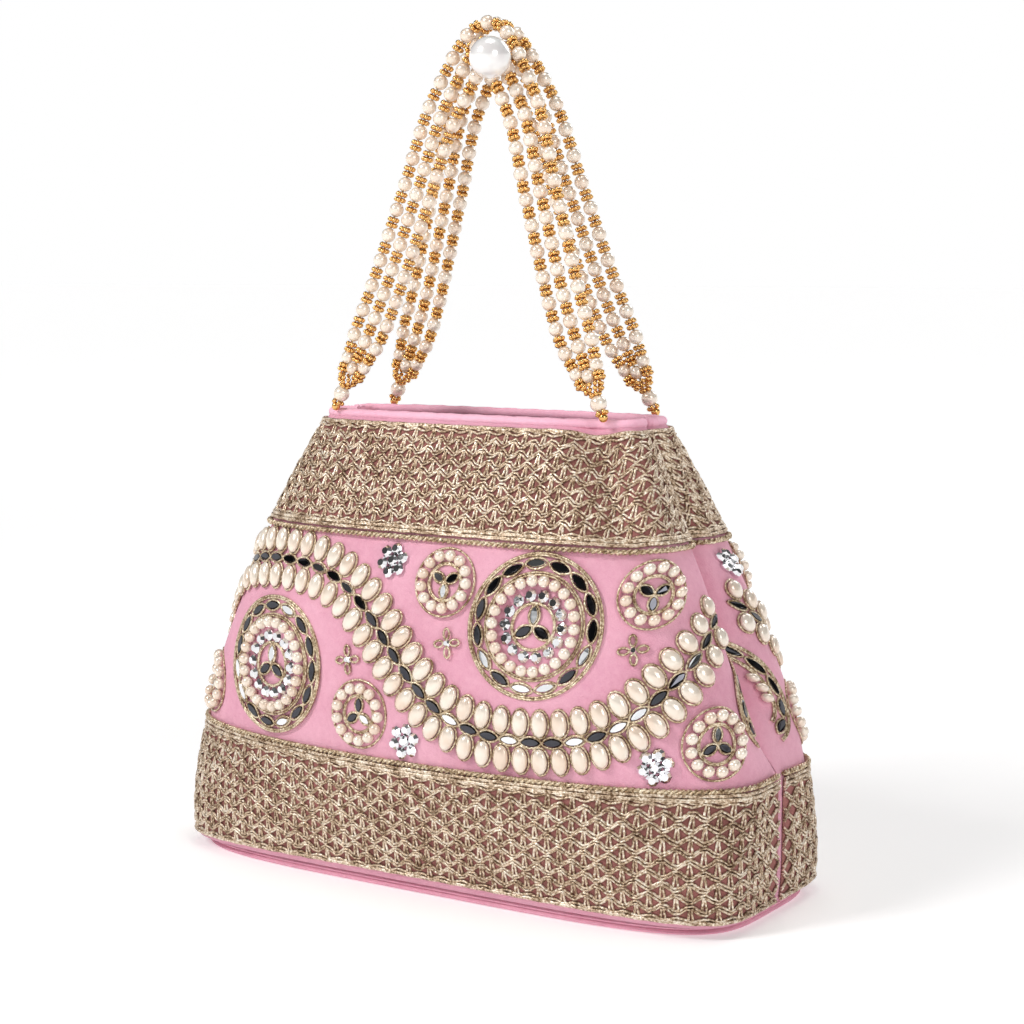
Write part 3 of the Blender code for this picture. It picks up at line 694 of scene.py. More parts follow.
    def slope(self, s: np.ndarray, z: np.ndarray) -> np.ndarray:
        """Rise in height for each unit of length up the cloth.

        Args:
            s: Cloth lengths from the middle of the half.
            z: Heights.

        Returns:
            Shares of a unit length.
        """
        step = 1.0 * MM
        top = np.minimum(z + step, self.height)
        size = np.linalg.norm(self.point(s, top) - self.point(s, top - 2 * step), axis=-1)
        return 2 * step / size

    def sewn(self, side: Side, place: tuple[float, float], flat: np.ndarray) -> np.ndarray:
        """Lay flat work on the cloth.

        Args:
            side: Half of the bag.
            place: Cloth length and height of the middle of the work.
            flat: Offsets along, up and out, one row each.

        Returns:
            Points in the frame of the bag, one row each.
        """
        s = place[0] + flat[:, 0]
        z = place[1] + flat[:, 1] * self.slope(s, np.full(len(s), place[1]))
        return self.lifted(side, s, z, flat[:, 2])

    def hold_back(self, share: np.ndarray, z: np.ndarray) -> np.ndarray:
        """Shares kept a little short of the seam, for trim.

        Args:
            share: Shares of the way to the seam.
            z: Heights.

        Returns:
            Shares within the limit.
        """
        folded = ease((np.asarray(z) - self.fold_start) / (self.fold_run * 0.6))
        limit = 1.9 - 0.22 * folded
        return np.clip(share, -limit, limit)


# Pieces


def settle(item: bpy.types.Object, body: str, slot: Slot, *nodes: str) -> bpy.types.Object:
    """Make a finished piece ride on its body and stand for its nodes.

    Args:
        item: The finished piece.
        body: Body that it rides on.
        slot: Material slot of the record.
        nodes: CAD nodes that it stands for.

    Returns:
        The piece.
    """
    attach(item, body)
    if nodes:
        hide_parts(*nodes)
    LOG.info("made %s", item.name)
    return item


def link(name: str, data: bpy.types.ID, *materials: bpy.types.Material) -> bpy.types.Object:
    """Put a mesh or curve in the scene with its materials.

    Args:
        name: Name of the piece.
        data: Mesh or curve.
        materials: Finishes, in the order of the slots.

    Returns:
        The new object.
    """
    item = bpy.data.objects.new(name, data)
    bpy.context.scene.collection.objects.link(item)
    for material in materials:
        data.materials.append(material)
    return item


def threads(name: str, paths: Iterable[np.ndarray], radius: float,
            material: bpy.types.Material, sides: int = 0, closed: bool = False,
            swell: Callable[[int], float] | None = None) -> bpy.types.Object:
    """Round threads along many paths, as one curve object.

    Args:
        name: Name of the piece.
        paths: Points of each thread.
        radius: Radius of the thread.
        material: Finish of the thread.
        sides: Bevel resolution.
        closed: Whether every path closes on itself.
        swell: Radius factor for each point of a path.

    Returns:
        The curve object.
    """
    curve = bpy.data.curves.new(name, "CURVE")
    curve.dimensions = "3D"
    curve.bevel_depth = radius
    curve.bevel_resolution = sides
    curve.use_fill_caps = True
    for path in paths:
        spline = curve.splines.new("POLY")
        spline.points.add(len(path) - 1)
        flat = np.ones((len(path), 4))
        flat[:, :3] = path
        spline.points.foreach_set("co", flat.ravel())
        spline.use_cyclic_u = closed
        spline.use_smooth = True
        if swell is not None:
            spline.points.foreach_set("radius", [swell(index) for index in range(len(path))])
    return link(name, curve, material)


def smooth_mesh(name: str, bm: bmesh.types.BMesh, sharp: float = 180.0) -> bpy.types.Mesh:
    """Turn a bmesh into a smooth mesh and free it.

    Args:
        name: Name of the piece.
        bm: Shape to turn into a mesh.
        sharp: Angle in degrees past which an edge stays sharp.

    Returns:
        The mesh.
    """
    mesh = bpy.data.meshes.new(name)
    bm.to_mesh(mesh)
    bm.free()
    mesh.shade_smooth()
    if sharp < 180.0:
        mesh.set_sharp_from_angle(angle=math.radians(sharp))
    return mesh


def flat_grid(columns: int, rows: int) -> tuple[bmesh.types.BMesh, np.ndarray]:
    """Flat grid from -1 to 1 both ways, with its corners."""
    bm = bmesh.new()
    bmesh.ops.create_grid(bm, x_segments=columns, y_segments=rows, size=1.0)
    return bm, np.array([vert.co[:] for vert in bm.verts])


def draped(name: str, bm: bmesh.types.BMesh, spots: np.ndarray, material: bpy.types.Material,
           thickness: float, outward: float) -> bpy.types.Object:
    """Move a flat grid to its place on the bag and give it a wall.

    Args:
        name: Name of the piece.
        bm: Flat grid.
        spots: Final corners of the grid.
        material: Finish.
        thickness: Thickness of the wall.
        outward: 1 grows the wall outwards and -1 inwards.

    Returns:
        The piece.
    """
    for vert, spot in zip(bm.verts, spots):
        vert.co = spot
    item = link(name, smooth_mesh(name, bm), material)
    shell = item.modifiers.new("cloth", "SOLIDIFY")
    shell.thickness = thickness
    shell.offset = outward
    return item


@dataclass
class Shape:
    """A small shape that is repeated: its corners and faces."""

    corners: np.ndarray
    faces: list[tuple[int, ...]]
    smooth: bool

    @classmethod
    def of(cls, bm: bmesh.types.BMesh, smooth: bool = True) -> "Shape":
        """Take the shape from a bmesh and free it.

        Args:
            bm: Shape to take.
            smooth: Whether its faces are shaded smooth.

        Returns:
            The shape.
        """
        bmesh.ops.recalc_face_normals(bm, faces=bm.faces)
        bm.verts.index_update()
        corners = np.array([vert.co[:] for vert in bm.verts])
        faces = [tuple(vert.index for vert in face.verts) for face in bm.faces]
        bm.free()
        return cls(corners, faces, smooth)


def ball(radius: float, around: int = 12, up: int = 8,
         stretch: tuple[float, float, float] = (1.0, 1.0, 1.0)) -> Shape:
    """Round or oval bead, centred.

    Args:
        radius: Radius.
        around: Faces around.
        up: Faces from pole to pole.
        stretch: Scale along the three axes.

    Returns:
        The bead.
    """
    bm = bmesh.new()
    bmesh.ops.create_uvsphere(bm, u_segments=around, v_segments=up, radius=radius)
    bmesh.ops.scale(bm, verts=bm.verts, vec=stretch)
    return Shape.of(bm)


def grain(radius: float) -> Shape:
    """Tiny ball of a granulated ring."""
    bm = bmesh.new()
    bmesh.ops.create_icosphere(bm, subdivisions=1, radius=radius)
    return Shape.of(bm)


def cut_stone(radius: float, height: float) -> Shape:
    """Foil stone with a flat table and eight facets.

    Args:
        radius: Radius of the stone's girdle.
        height: Height of the stone.

    Returns:
        The stone.
    """
    bm = bmesh.new()
    bmesh.ops.create_cone(bm, cap_ends=True, segments=8, radius1=radius, radius2=radius * 0.55,
                          depth=height * 0.6, matrix=Matrix.Translation((0, 0, height * 0.7)))
    base = [face for face in bm.faces if face.normal.z < -0.9]
    grown = bmesh.ops.extrude_face_region(bm, geom=base)["geom"]
    verts = [item for item in grown if isinstance(item, bmesh.types.BMVert)]
    bmesh.ops.translate(bm, verts=verts, vec=(0, 0, -height * 0.4))
    bmesh.ops.delete(bm, geom=base, context="FACES_ONLY")
    return Shape.of(bm, smooth=False)


def leaf(length: float, width: float, height: float) -> Shape:
    """Leaf-shaped mirror with a bevelled edge.

    Args:
        length: Length.
        width: Width.
        height: Thickness of the glass.

    Returns:
        The mirror.
    """
    bm = bmesh.new()
    bmesh.ops.create_circle(bm, cap_ends=True, segments=12, radius=1.0)
    for vert in bm.verts:
        vert.co.y *= 0.5 * width * math.sqrt(max(1.0 - 0.55 * vert.co.x ** 2, 0.0))
        vert.co.x *= 0.5 * length
    grown = bmesh.ops.extrude_face_region(bm, geom=list(bm.faces))["geom"]
    verts = [item for item in grown if isinstance(item, bmesh.types.BMVert)]
    bmesh.ops.translate(bm, verts=verts, vec=(0, 0, height))
    bmesh.ops.scale(bm, verts=verts, vec=(0.86, 0.74, 1.0))
    return Shape.of(bm, smooth=False)


class Tray:
    """Gathers repeated shapes into one mesh, each with its own material slot."""

    def __init__(self, dark: int = 3) -> None:
        """Start empty.

        Args:
            dark: Material slot of the mirror glass with a dark painted reflection.
        """
        self.dark = dark
        self.corners: list[np.ndarray] = []
        self.faces: list[tuple[int, ...]] = []
        self.kinds: list[int] = []
        self.smooth: list[bool] = []
        self.count = 0

    def add(self, shape: Shape, corners: np.ndarray, kind: int = 0) -> None:
        """Add one copy of a shape at its final corners.

        Args:
            shape: Shape that is repeated.
            corners: Its corners at their final places.
            kind: Material slot.
        """
        self.corners.append(corners)
        start = self.count
        self.faces.extend(tuple(start + index for index in face) for face in shape.faces)
        self.kinds.extend([kind] * len(shape.faces))
        self.smooth.extend([shape.smooth] * len(shape.faces))
        self.count += len(corners)

    def add_at(self, shape: Shape, matrix: Matrix, kind: int = 0) -> None:
        """Add one copy of a shape under a placing matrix."""
        turn = np.array(matrix.to_3x3())
        self.add(shape, shape.corners @ turn.T + np.array(matrix.translation), kind)

    def serve(self, name: str, *materials: bpy.types.Material) -> bpy.types.Object:
        """Make the mesh object.

        Args:
            name: Name of the piece.
            materials: Finishes, in the order of the slots.

        Returns:
            The piece.
        """
        mesh = bpy.data.meshes.new(name)
        mesh.from_pydata(np.concatenate(self.corners).tolist(), [], self.faces)
        mesh.polygons.foreach_set("use_smooth", self.smooth)
        item = link(name, mesh, *materials)
        mesh.polygons.foreach_set("material_index", self.kinds)
        mesh.update()
        return item


def polar(radius: float, angle: float) -> tuple[float, float]:
    """Flat place at an angle and a distance."""
    return radius * math.cos(angle), radius * math.sin(angle)


def laid(shape: Shape, along: float, up: float, turn: float, out: float) -> np.ndarray:
    """Corners of a flat-lying shape after a turn and a move.

    Args:
        shape: Shape that is repeated.
        along: Flat place along the cloth.
        up: Flat place up the cloth.
        turn: Turn in the cloth.
        out: Distance out from the cloth.

    Returns:
        Corners, one row each.
    """
    cos, sin = math.cos(turn), math.sin(turn)
    x, y, z = shape.corners.T
    return np.stack((along + x * cos - y * sin, up + x * sin + y * cos, out + z), axis=-1)


# Cloth


@dataclass
class Panels:
    """Velvet front and back, with their rim binding."""

    pouch: Pouch
    thickness: float = 1.6 * MM
    foot: float = 2.9 * MM
    binding_radius: float = 1.4 * MM
    columns: int = 190
    rows: int = 84
    top_gap: float = 1.2 * MM
    ripple: float = 0.22 * MM
    ripple_low: float = 34.0 * MM
    ripple_high: float = 104.0 * MM
    ripple_fade: float = 10.0 * MM
    ripple_reach: float = 1.4
    roll_reach: float = 1.82

    def build(self, finishes: Wardrobe) -> None:
        """Build both halves."""
        for side in Side:
            self.panel(side, finishes)
            self.binding(side, finishes)

    def panel(self, side: Side, finishes: Wardrobe) -> None:
        """One velvet panel draped over the pouch.

        Args:
            side: Half of the bag.
            finishes: Finishes of the bag.
        """
        bm, flat = flat_grid(self.columns, self.rows)
        top = self.pouch.height - self.top_gap
        z = self.foot + (top - self.foot) * (flat[:, 1] + 1) / 2
        share = flat[:, 0] * 2.0
        s = self.pouch.length(share, z)
        free = (ease((z - self.ripple_low) / self.ripple_fade)
                * ease((self.ripple_high - z) / self.ripple_fade))
        wave = np.sin(s * 95.0 + z * 60.0) + np.sin(s * 61.0 - z * 130.0 + 1.3)
        spots = self.pouch.lifted(side, s, z, self.ripple * free * wave
                                  * (np.abs(share) < self.ripple_reach))
        item = draped(f"{side.label}_velvet", bm, spots, finishes.velvet, self.thickness, -1.0)
        settle(item, BAG, Slot.VELVET, f"{side.label}_panel")

    def binding(self, side: Side, finishes: Wardrobe) -> None:
        """Rolled velvet edge along the mouth.

        Args:
            side: Half of the bag.
            finishes: Finishes of the bag.
        """
        share = np.linspace(-self.roll_reach, self.roll_reach, 180)
        top = self.pouch.height - self.binding_radius
        z = np.full(len(share), top)
        s = self.pouch.length(share, z)
        path = self.pouch.lifted(side, s, z, -0.5 * self.thickness)
        path[:, 2] = top

        def pucker(index: int) -> float:
            """Radius of the roll, drawn in a little at each stitch."""
            return 1.0 + 0.05 * math.sin(index * 0.9) + 0.03 * math.sin(index * 2.3)

        item = threads(f"{side.label}_rim_roll", [path], self.binding_radius, finishes.binding,
                       3, swell=pucker)
        settle(item, BAG, Slot.BINDING, f"{side.label}_rim_binding")


@dataclass
class Foot:
    """Covered base with a welted edge, the stiffener and the satin lining."""

    pouch: Pouch
    height: float = 2.6 * MM
    welts: tuple[tuple[float, float], ...] = (
        (1.3 * MM, 0.0), (0.3 * MM, 0.08), (0.0, 0.25), (0.3 * MM, 0.42), (0.8 * MM, 0.5),
        (0.3 * MM, 0.58), (0.0, 0.75), (0.3 * MM, 0.92), (1.3 * MM, 1.0))
    lining_inset: float = 2.3 * MM
    lining_thickness: float = 0.5 * MM
    lining_floor: float = 5.6 * MM
    lining_foot: float = 18.0 * MM
    lining_drop: float = 3.0 * MM
    lining_levels: tuple[float, ...] = (0.0, 0.03, 0.1, 0.2, 0.28, 0.33, 0.38, 0.44, 0.5, 0.6,
                                        0.7, 0.8, 0.9, 1.0)
    corners: int = 96

    def build(self, finishes: Wardrobe) -> None:
        """Build the base and the lining."""
        self.base(finishes)
        self.lining(finishes)
        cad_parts["base_stiffener"].material_slots[0].material = finishes.board

    def ring(self, width: float, depth: float, power: float) -> np.ndarray:
        """Corners of one closed outline in plan.

        Args:
            width: Half width.
            depth: Half depth.
            power: Squareness of the outline.

        Returns:
            Corners, one row each.
        """
        angle = 2 * math.pi * (np.arange(self.corners) + 0.5) / self.corners
        cos, sin = np.cos(angle), np.sin(angle)
        return np.stack((np.sign(cos) * np.abs(cos) ** (2 / power) * width,
                         np.sign(sin) * np.abs(sin) ** (2 / power) * depth), axis=-1)

    def stack(self, rings: Sequence[tuple[np.ndarray, float]]) -> bmesh.types.BMesh:
        """Closed skin over stacked outlines, grown by extruding its rim.

        Args:
            rings: Outlines with their heights, from one end of the skin to the other.

        Returns:
            The skin.
        """
        bm = bmesh.new()
        bmesh.ops.create_circle(bm, cap_ends=True, segments=self.corners, radius=1.0)
        bm.verts.ensure_lookup_table()
        rim = list(bm.verts)
        for vert, spot in zip(rim, rings[0][0]):
            vert.co = (*spot, rings[0][1])
        edges = list(bm.edges)
        for outline, z in rings[1:]:
            grown = bmesh.ops.extrude_edge_only(bm, edges=edges)["geom"]
            edges = [item for item in grown if isinstance(item, bmesh.types.BMEdge)]
            fresh = [item for item in grown if isinstance(item, bmesh.types.BMVert)]
            for vert, spot in zip(fresh, outline):
                vert.co = (*spot, z)
        bmesh.ops.holes_fill(bm, edges=edges, sides=0)
        bmesh.ops.recalc_face_normals(bm, faces=bm.faces)
        return bm

    def base(self, finishes: Wardrobe) -> None:
        """Base panel with the groove between its two welts.

        Args:
            finishes: Finishes of the bag.
        """
        half_width, half_depth = self.pouch.base_width / 2, self.pouch.base_depth / 2
        rings = []
        for inset, share in self.welts:
            outline = self.ring(half_width - inset, half_depth - inset,
                                self.pouch.base_squareness)
            rings.append((outline, self.height * share))
        mesh = smooth_mesh("covered_base", self.stack(rings), 50.0)
        item = link("covered_base", mesh, finishes.velvet)
        settle(item, BAG, Slot.VELVET, "base_panel")

    def lining(self, finishes: Wardrobe) -> None:
        """Satin bag inside the panels.

        Args:
            finishes: Finishes of the bag.
        """
        floor, top = self.lining_floor, self.pouch.height - self.lining_drop
        outer, inner = [], []
        for share in self.lining_levels:
            z = floor + (top - floor) * share
            width, depth, _, fold, power = self.pouch.sizes(max(z, self.lining_foot))
            drawn = 1.0 - 0.07 * float(1 - ease(share / 0.05))
            for rings, inset in ((outer, self.lining_inset),
                                 (inner, self.lining_inset + self.lining_thickness)):
                ring = self.ring((width - fold - inset) * drawn, (depth - inset) * drawn, power)
                rings.append((ring, z + (self.lining_thickness if rings is inner
                                         and share == 0.0 else 0.0)))
        mesh = smooth_mesh("satin_lining", self.stack(outer + inner[::-1]), 60.0)
        item = link("satin_lining", mesh, finishes.satin)
        settle(item, BAG, Slot.SATIN, "lining")


# Lace


@dataclass
class LaceBand:
    """One band of zari lace: waved thread pairs with eyes between them."""

    pouch: Pouch
    name: str
    low: float
    corner_low: float
    high: float
    rows: int
    eye: float
    low_border: int
    high_border: int
    border_pitch: float = 1.05 * MM
    thread: float = 0.40 * MM
    pair: float = 0.40 * MM
    swing: float = 0.32
    lift: float = 0.75 * MM
    ground_lift: float = 0.3 * MM
    net_thickness: float = 0.12 * MM
    net_edge: float = 0.02
    net_columns: int = 170
    net_rows: int = 16
    edge_swing: float = 0.45
    eye_reach: float = 6.0 * MM
    step: float = 0.9 * MM

    def build(self, side: Side, finishes: Wardrobe) -> None:
        """Build the band on one half of the bag.

        Args:
            side: Half of the bag.
            finishes: Finishes of the bag.
        """
        paths = list(self.waves(side)) + list(self.uprights(side)) + list(self.borders(side))
        item = threads(f"{side.label}_{self.name}_threads", paths, self.thread, finishes.lace)
        settle(item, BAG, Slot.LACE, f"{side.label}_{self.name}")
        self.ground(side, finishes)

    def ground(self, side: Side, finishes: Wardrobe) -> None:
        """Fine net that the threads are worked on, dark brownish pink: partly its own colour,
        partly painted shade where the velvet shows through.

        Args:
            side: Half of the bag.
            finishes: Finishes of the bag.
        """
        bm, flat = flat_grid(self.net_columns, self.net_rows)
        level = self.net_edge + (1.0 - 2 * self.net_edge) * (flat[:, 1] + 1) / 2
        rough = self.low + (self.high - self.low) * level
        limit = self.pouch.hold_back(np.full(len(flat), 2.0), rough)
        share = flat[:, 0] * limit
        foot = self.foot(share)
        z = foot + (self.high - foot) * level
        spots = self.pouch.lifted(side, self.pouch.length(share, z), z, self.ground_lift)
        # The net's dark colour is partly painted shade between the threads.
        item = draped(f"{side.label}_{self.name}_ground", bm, spots, finishes.ground,
                      self.net_thickness, 1.0)
        settle(item, BAG, Slot.LACE)

    def foot(self, share: np.ndarray) -> np.ndarray:
        """Lower edge, which dips towards the corners."""
        return self.low - (self.low - self.corner_low) * np.minimum(np.abs(share), 1.0) ** 2

    def run(self, side: Side, level: float, wave: Callable[[np.ndarray], np.ndarray],
            lift: float) -> np.ndarray:
        """One thread from seam to seam.

        Args:
            side: Half of the bag.
            level: Share of the band's height.
            wave: Rise over the level for each cloth length.
            lift: Distance out from the cloth.

        Returns:
            Points of the thread.
        """
        rough = self.low + (self.high - self.low) * level
        count = int(2 * float(self.pouch.seam(rough)) / self.step)
        share = self.pouch.hold_back(np.linspace(-2.0, 2.0, count), rough)
        keep = np.append(True, np.diff(share) > 1e-6)
        share = share[keep]
        foot = self.foot(share)
        z = foot + (self.high - foot) * level
        s = self.pouch.length(share, z)
        z = np.clip(z + wave(s), 0.0, self.pouch.height)
        return self.pouch.lifted(side, s, z, lift)

    def field(self) -> tuple[float, float]:
        """Lowest and highest share of the waved field between the borders."""
        size = self.high - self.low
        return (self.low_border * self.border_pitch / size,
                1.0 - self.high_border * self.border_pitch / size)

    def waves(self, side: Side) -> Iterable[np.ndarray]:
        """Waved pairs of threads, each row against the one below.

        Args:
            side: Half of the bag.

        Yields:
            Points of each thread.
        """
        first, last = self.field()
        pitch = (last - first) * (self.high - self.low) / self.rows
        for row in range(self.rows + 1):
            level = first + (last - first) * row / self.rows
            edge = row in (0, self.rows)
            height = pitch * self.swing * (self.edge_swing if edge else 1.0)
            for pair in (-1, 1):
                def wave(s: np.ndarray) -> np.ndarray:
                    """Rise of this thread."""
                    phase = 2 * math.pi * s / self.eye + math.pi * row
                    return height * np.sin(phase) + pair * self.pair * (1 - 0.3 * np.cos(phase))
                yield self.run(side, level, wave, self.lift + 0.1 * MM * (row % 2))

    def uprights(self, side: Side) -> Iterable[np.ndarray]:
        """Short upright thread in each eye.

        Args:
            side: Half of the bag.

        Yields:
            Points of each thread.
        """
        first, last = self.field()
        for row in range(self.rows):
            low = first + (last - first) * row / self.rows
            high = first + (last - first) * (row + 1) / self.rows
            rough = self.low + (self.high - self.low) * low
            reach = float(self.pouch.ridge(rough)) + self.eye_reach
            start = 0.75 if row % 2 == 0 else 0.25
            places = np.arange(-int(reach / self.eye) - 1, int(reach / self.eye) + 1) + start
            for place in places * self.eye:
                if abs(place) > reach:
                    continue
                share = place / float(self.pouch.ridge(rough))
                foot = float(self.foot(np.array(share)))
                levels = np.linspace(low, high, 4)
                z = foot + (self.high - foot) * levels
                for lean in (-1.0, 1.0):
                    s = place + lean * self.thread * np.linspace(1.6, 0.6, 4)
                    yield self.pouch.lifted(side, s, z, self.lift - 0.15 * MM)

    def borders(self, side: Side) -> Iterable[np.ndarray]:
        """Straight edge threads.

        Args:
            side: Half of the bag.

        Yields:
            Points of each thread.
        """
        size = self.high - self.low
        for count, start, way in ((self.low_border, 0.0, 1), (self.high_border, 1.0, -1)):
            for index in range(count):
                level = start + way * (index + 0.45) * self.border_pitch / size

                def wave(s: np.ndarray) -> np.ndarray:
                    """Faint unevenness of this thread."""
                    return 0.08 * MM * np.sin(s * 900.0 + index * 2.0)
                yield self.run(side, level, wave, self.lift + 0.15 * MM)
                yield self.run(side, level + 0.3 * self.border_pitch / size, wave,
                               self.lift + 0.25 * MM)


@dataclass
class EdgeCord:
    """Twisted cord of two strands along a lace edge."""

    pouch: Pouch
    name: str
    height: float
    radius: float = 0.62 * MM
    strand: float = 0.45 * MM
    twist: float = 3.2 * MM
    spread: float = 0.42 * MM
    under: float = 0.3 * MM
    per_turn: int = 9

    def build(self, side: Side, finishes: Wardrobe) -> None:
        """Build the cord on one half of the bag.

        Args:
            side: Half of the bag.
            finishes: Finishes of the bag.
        """
        total = 2 * float(self.pouch.seam(self.height))
        count = int(total / self.twist * self.per_turn)
        share = self.pouch.hold_back(np.linspace(-2.0, 2.0, count), self.height)
        share = share[np.append(True, np.diff(share) > 1e-6)]
        z = np.full(len(share), self.height)
        s = self.pouch.length(share, z)
        paths = []
        for start in (0.0, math.pi):
            phase = 2 * math.pi * s / self.twist + start
            up = z + self.spread * np.sin(phase)
            out = self.under + self.radius + self.spread * np.cos(phase)
            paths.append(self.pouch.lifted(side, s, up, out))
        item = threads(f"{side.label}_{self.name}_twist", paths, self.strand, finishes.cord)
        settle(item, BAG, Slot.CORD, f"{side.label}_{self.name}")


# Embroidery


class Motif(Enum):
    """Round motifs beside the wave: node name, radius, and places from each crest."""

    MEDALLION = ("medallion", 19.2 * MM, ((0.0, 58.9 * MM), (87.0 * MM, 77.4 * MM)))
    SMALL = ("small_medallion", 9.8 * MM, ((34.0 * MM, 49.2 * MM), (58.3 * MM, 86.6 * MM),
                                           (118.0 * MM, 86.6 * MM), (138.0 * MM, 49.2 * MM)))
    FLOWER = ("stone_flower", 4.8 * MM, ((40.0 * MM, 91.0 * MM), (49.6 * MM, 43.6 * MM),
                                         (122.2 * MM, 43.6 * MM)))

    @property
    def label(self) -> str:
        """Name of the motif's nodes."""
        return self.value[0]

    @property
    def radius(self) -> float:
        """Outer radius."""
        return self.value[1]

    @property
    def spots(self) -> tuple[tuple[float, float], ...]:
        """Distances from a crest, and heights."""
        return self.value[2]


@dataclass
class Embroidery:
    """Wave of pearls and mirrors with round motifs on both sides of it."""

    pouch: Pouch
    wave_height: float = 68.0 * MM
    wave_swing: float = 20.4 * MM
    wave_length: float = 172.0 * MM
    wave_sharpness: float = 0.2
    row_offset: float = 4.9 * MM
    oval_length: float = 7.0 * MM
    oval_width: float = 4.3 * MM
    oval_height: float = 2.6 * MM
    oval_pitch: float = 5.6 * MM
    mirror_length: float = 5.4 * MM
    mirror_width: float = 2.4 * MM
    mirror_pitch: float = 6.2 * MM
    leaf_height: float = 0.7 * MM
    stone_radius: float = 1.75 * MM
    stone_height: float = 1.5 * MM
    pearl_radius: float = 1.62 * MM
    cord_radius: float = 0.36 * MM
    wrap: float = 0.6
    seam_wrap: float = 0.8
    seam_pull: float = 6.0 * MM
    tip: float = 0.07
    dark_share: float = 0.6
    motif_margin: float = 1.2 * MM
    glass_lift: float = 0.1 * MM
    cord_lift: float = 0.15 * MM
    leaf_ring: float = 0.155
    stone_ring: float = 0.43
    stones: int = 14
    pearl_ring: float = 0.615
    pearls: int = 22
    wreath_ring: float = 0.86
    wreath_leaves: int = 15
    wreath_leaf: tuple[float, float] = (0.30, 0.125)
    wreath_loop: float = 0.172
    wreath_squash: float = 0.46
    pinch: float = 0.55
    outer_cords: tuple[float, ...] = (0.705, 0.74, 0.97, 1.0)
    inner_cords: tuple[float, ...] = (0.31, 0.325)
    seam_pearl_lift: float = 1.3 * MM
    seam_trim: float = 1.5 * MM
    ridge_reach: float = 2.0 * MM
    sprig_spots: tuple[tuple[float, float], ...] = (
        (29.0 * MM, 63.5 * MM), (61.5 * MM, 71.0 * MM), (114.6 * MM, 73.0 * MM))
    sprig_petal: float = 1.45 * MM
    sprig_reach: float = 2.5 * MM
    sprig_margin: float = 6.0 * MM

    def build(self, finishes: Wardrobe) -> None:
        """Build the embroidery of both halves.

        Args:
            finishes: Finishes of the bag.
        """
        self.chance = np.random.default_rng(11)
        self.pearl = ball(self.pearl_radius, 10, 6)
        self.stone = cut_stone(self.stone_radius, self.stone_height)
        for side in Side:
            self.cords: list[np.ndarray] = []
            self.rows(side, finishes)
            self.motifs(side, finishes)
            self.seam_motifs(side, finishes)
            self.sprigs(side, finishes)
            item = threads(f"{side.label}_motif_cords", self.cords, self.cord_radius,
                           finishes.cord, closed=True)
            settle(item, BAG, Slot.CORD)

    def height_at(self, s: float, crest: float) -> float:
        """Height of the wave at a cloth length.

        Args:
            s: Cloth length.
            crest: Cloth length of the first crest.

        Returns:
            The height.
        """
        phase = 2 * math.pi * (s - crest) / self.wave_length
        phase -= self.wave_sharpness * math.sin(2 * phase)
        return self.wave_height + self.wave_swing * math.cos(phase)

    def beside(self, s: float, crest: float, offset: float) -> tuple[float, ...]:
        """Place and direction on a line beside the wave.

        Args:
            s: Cloth length.
            crest: Cloth length of the first crest.
            offset: Distance above the wave.

        Returns:
            Cloth length, height and angle.
        """
        step = 0.5 * MM
        rise = (self.height_at(s + step, crest) - self.height_at(s - step, crest)) / (2 * step)
        size = math.hypot(1.0, rise)
        return (s - offset * rise / size, self.height_at(s, crest) + offset / size,
                math.atan2(rise, 1.0))

    def wrapped(self, z: float, share: float) -> float:
        """Cloth length to a place inside the side fold, past the ridge."""
        return float(self.pouch.ridge(z)) + share * self.pouch.sizes(z)[2]

    def stations(self, crest: float, offset: float, pitch: float) -> list[tuple[float, ...]]:
        """Evenly spaced places and directions beside the wave, from fold to fold.

        Args:
            crest: Cloth length of the first crest.
            offset: Distance above the wave.
            pitch: Distance from piece to piece.

        Returns:
            Cloth length, height and angle of each place.
        """
        places = [self.beside(s, crest, offset) for s in np.arange(-0.125, 0.125, 0.5 * MM)]
        inside = [p for p in places if abs(p[0]) < self.wrapped(p[1], self.wrap)]
        steps = [math.hypot(b[0] - a[0], b[1] - a[1]) for a, b in zip(inside[:-1], inside[1:])]
        run = np.append(0.0, np.cumsum(steps))
        count = int(run[-1] / pitch)
        first = (run[-1] - count * pitch) / 2 + pitch / 2
        wanted = first + pitch * np.arange(count)
        return list(zip(*(np.interp(wanted, run, column) for column in zip(*inside))))

    def sew(self, tray: Tray, side: Side, middle: tuple[float, float], shape: Shape,
            flat: tuple[float, float, float, float], kind: int, glass: bool = False) -> None:
        """Sew one copy of a shape at a flat place of a motif, glass a little tipped.

        Args:
            tray: Tray that gathers the copies.
            side: Half of the bag.
            middle: Cloth length and height of the motif's middle.
            shape: Shape that is repeated.
            flat: Places along and up, turn, and distance out.
            kind: Material slot.
            glass: Whether it is a mirror or stone that sits a little tipped.
        """
        spots = laid(shape, *flat)
        if glass:
            lean = self.chance.uniform(-self.tip, self.tip, 2)
            spots[:, 2] += self.glass_lift + (spots[:, 0:2] - np.array(flat[0:2])) @ lean
            # Most mirrors take the copy whose colour paints a dark reflection.
            if kind != 2 and self.chance.random() < self.dark_share:
                kind = tray.dark
        tray.add(shape, self.pouch.sewn(side, middle, spots), kind)

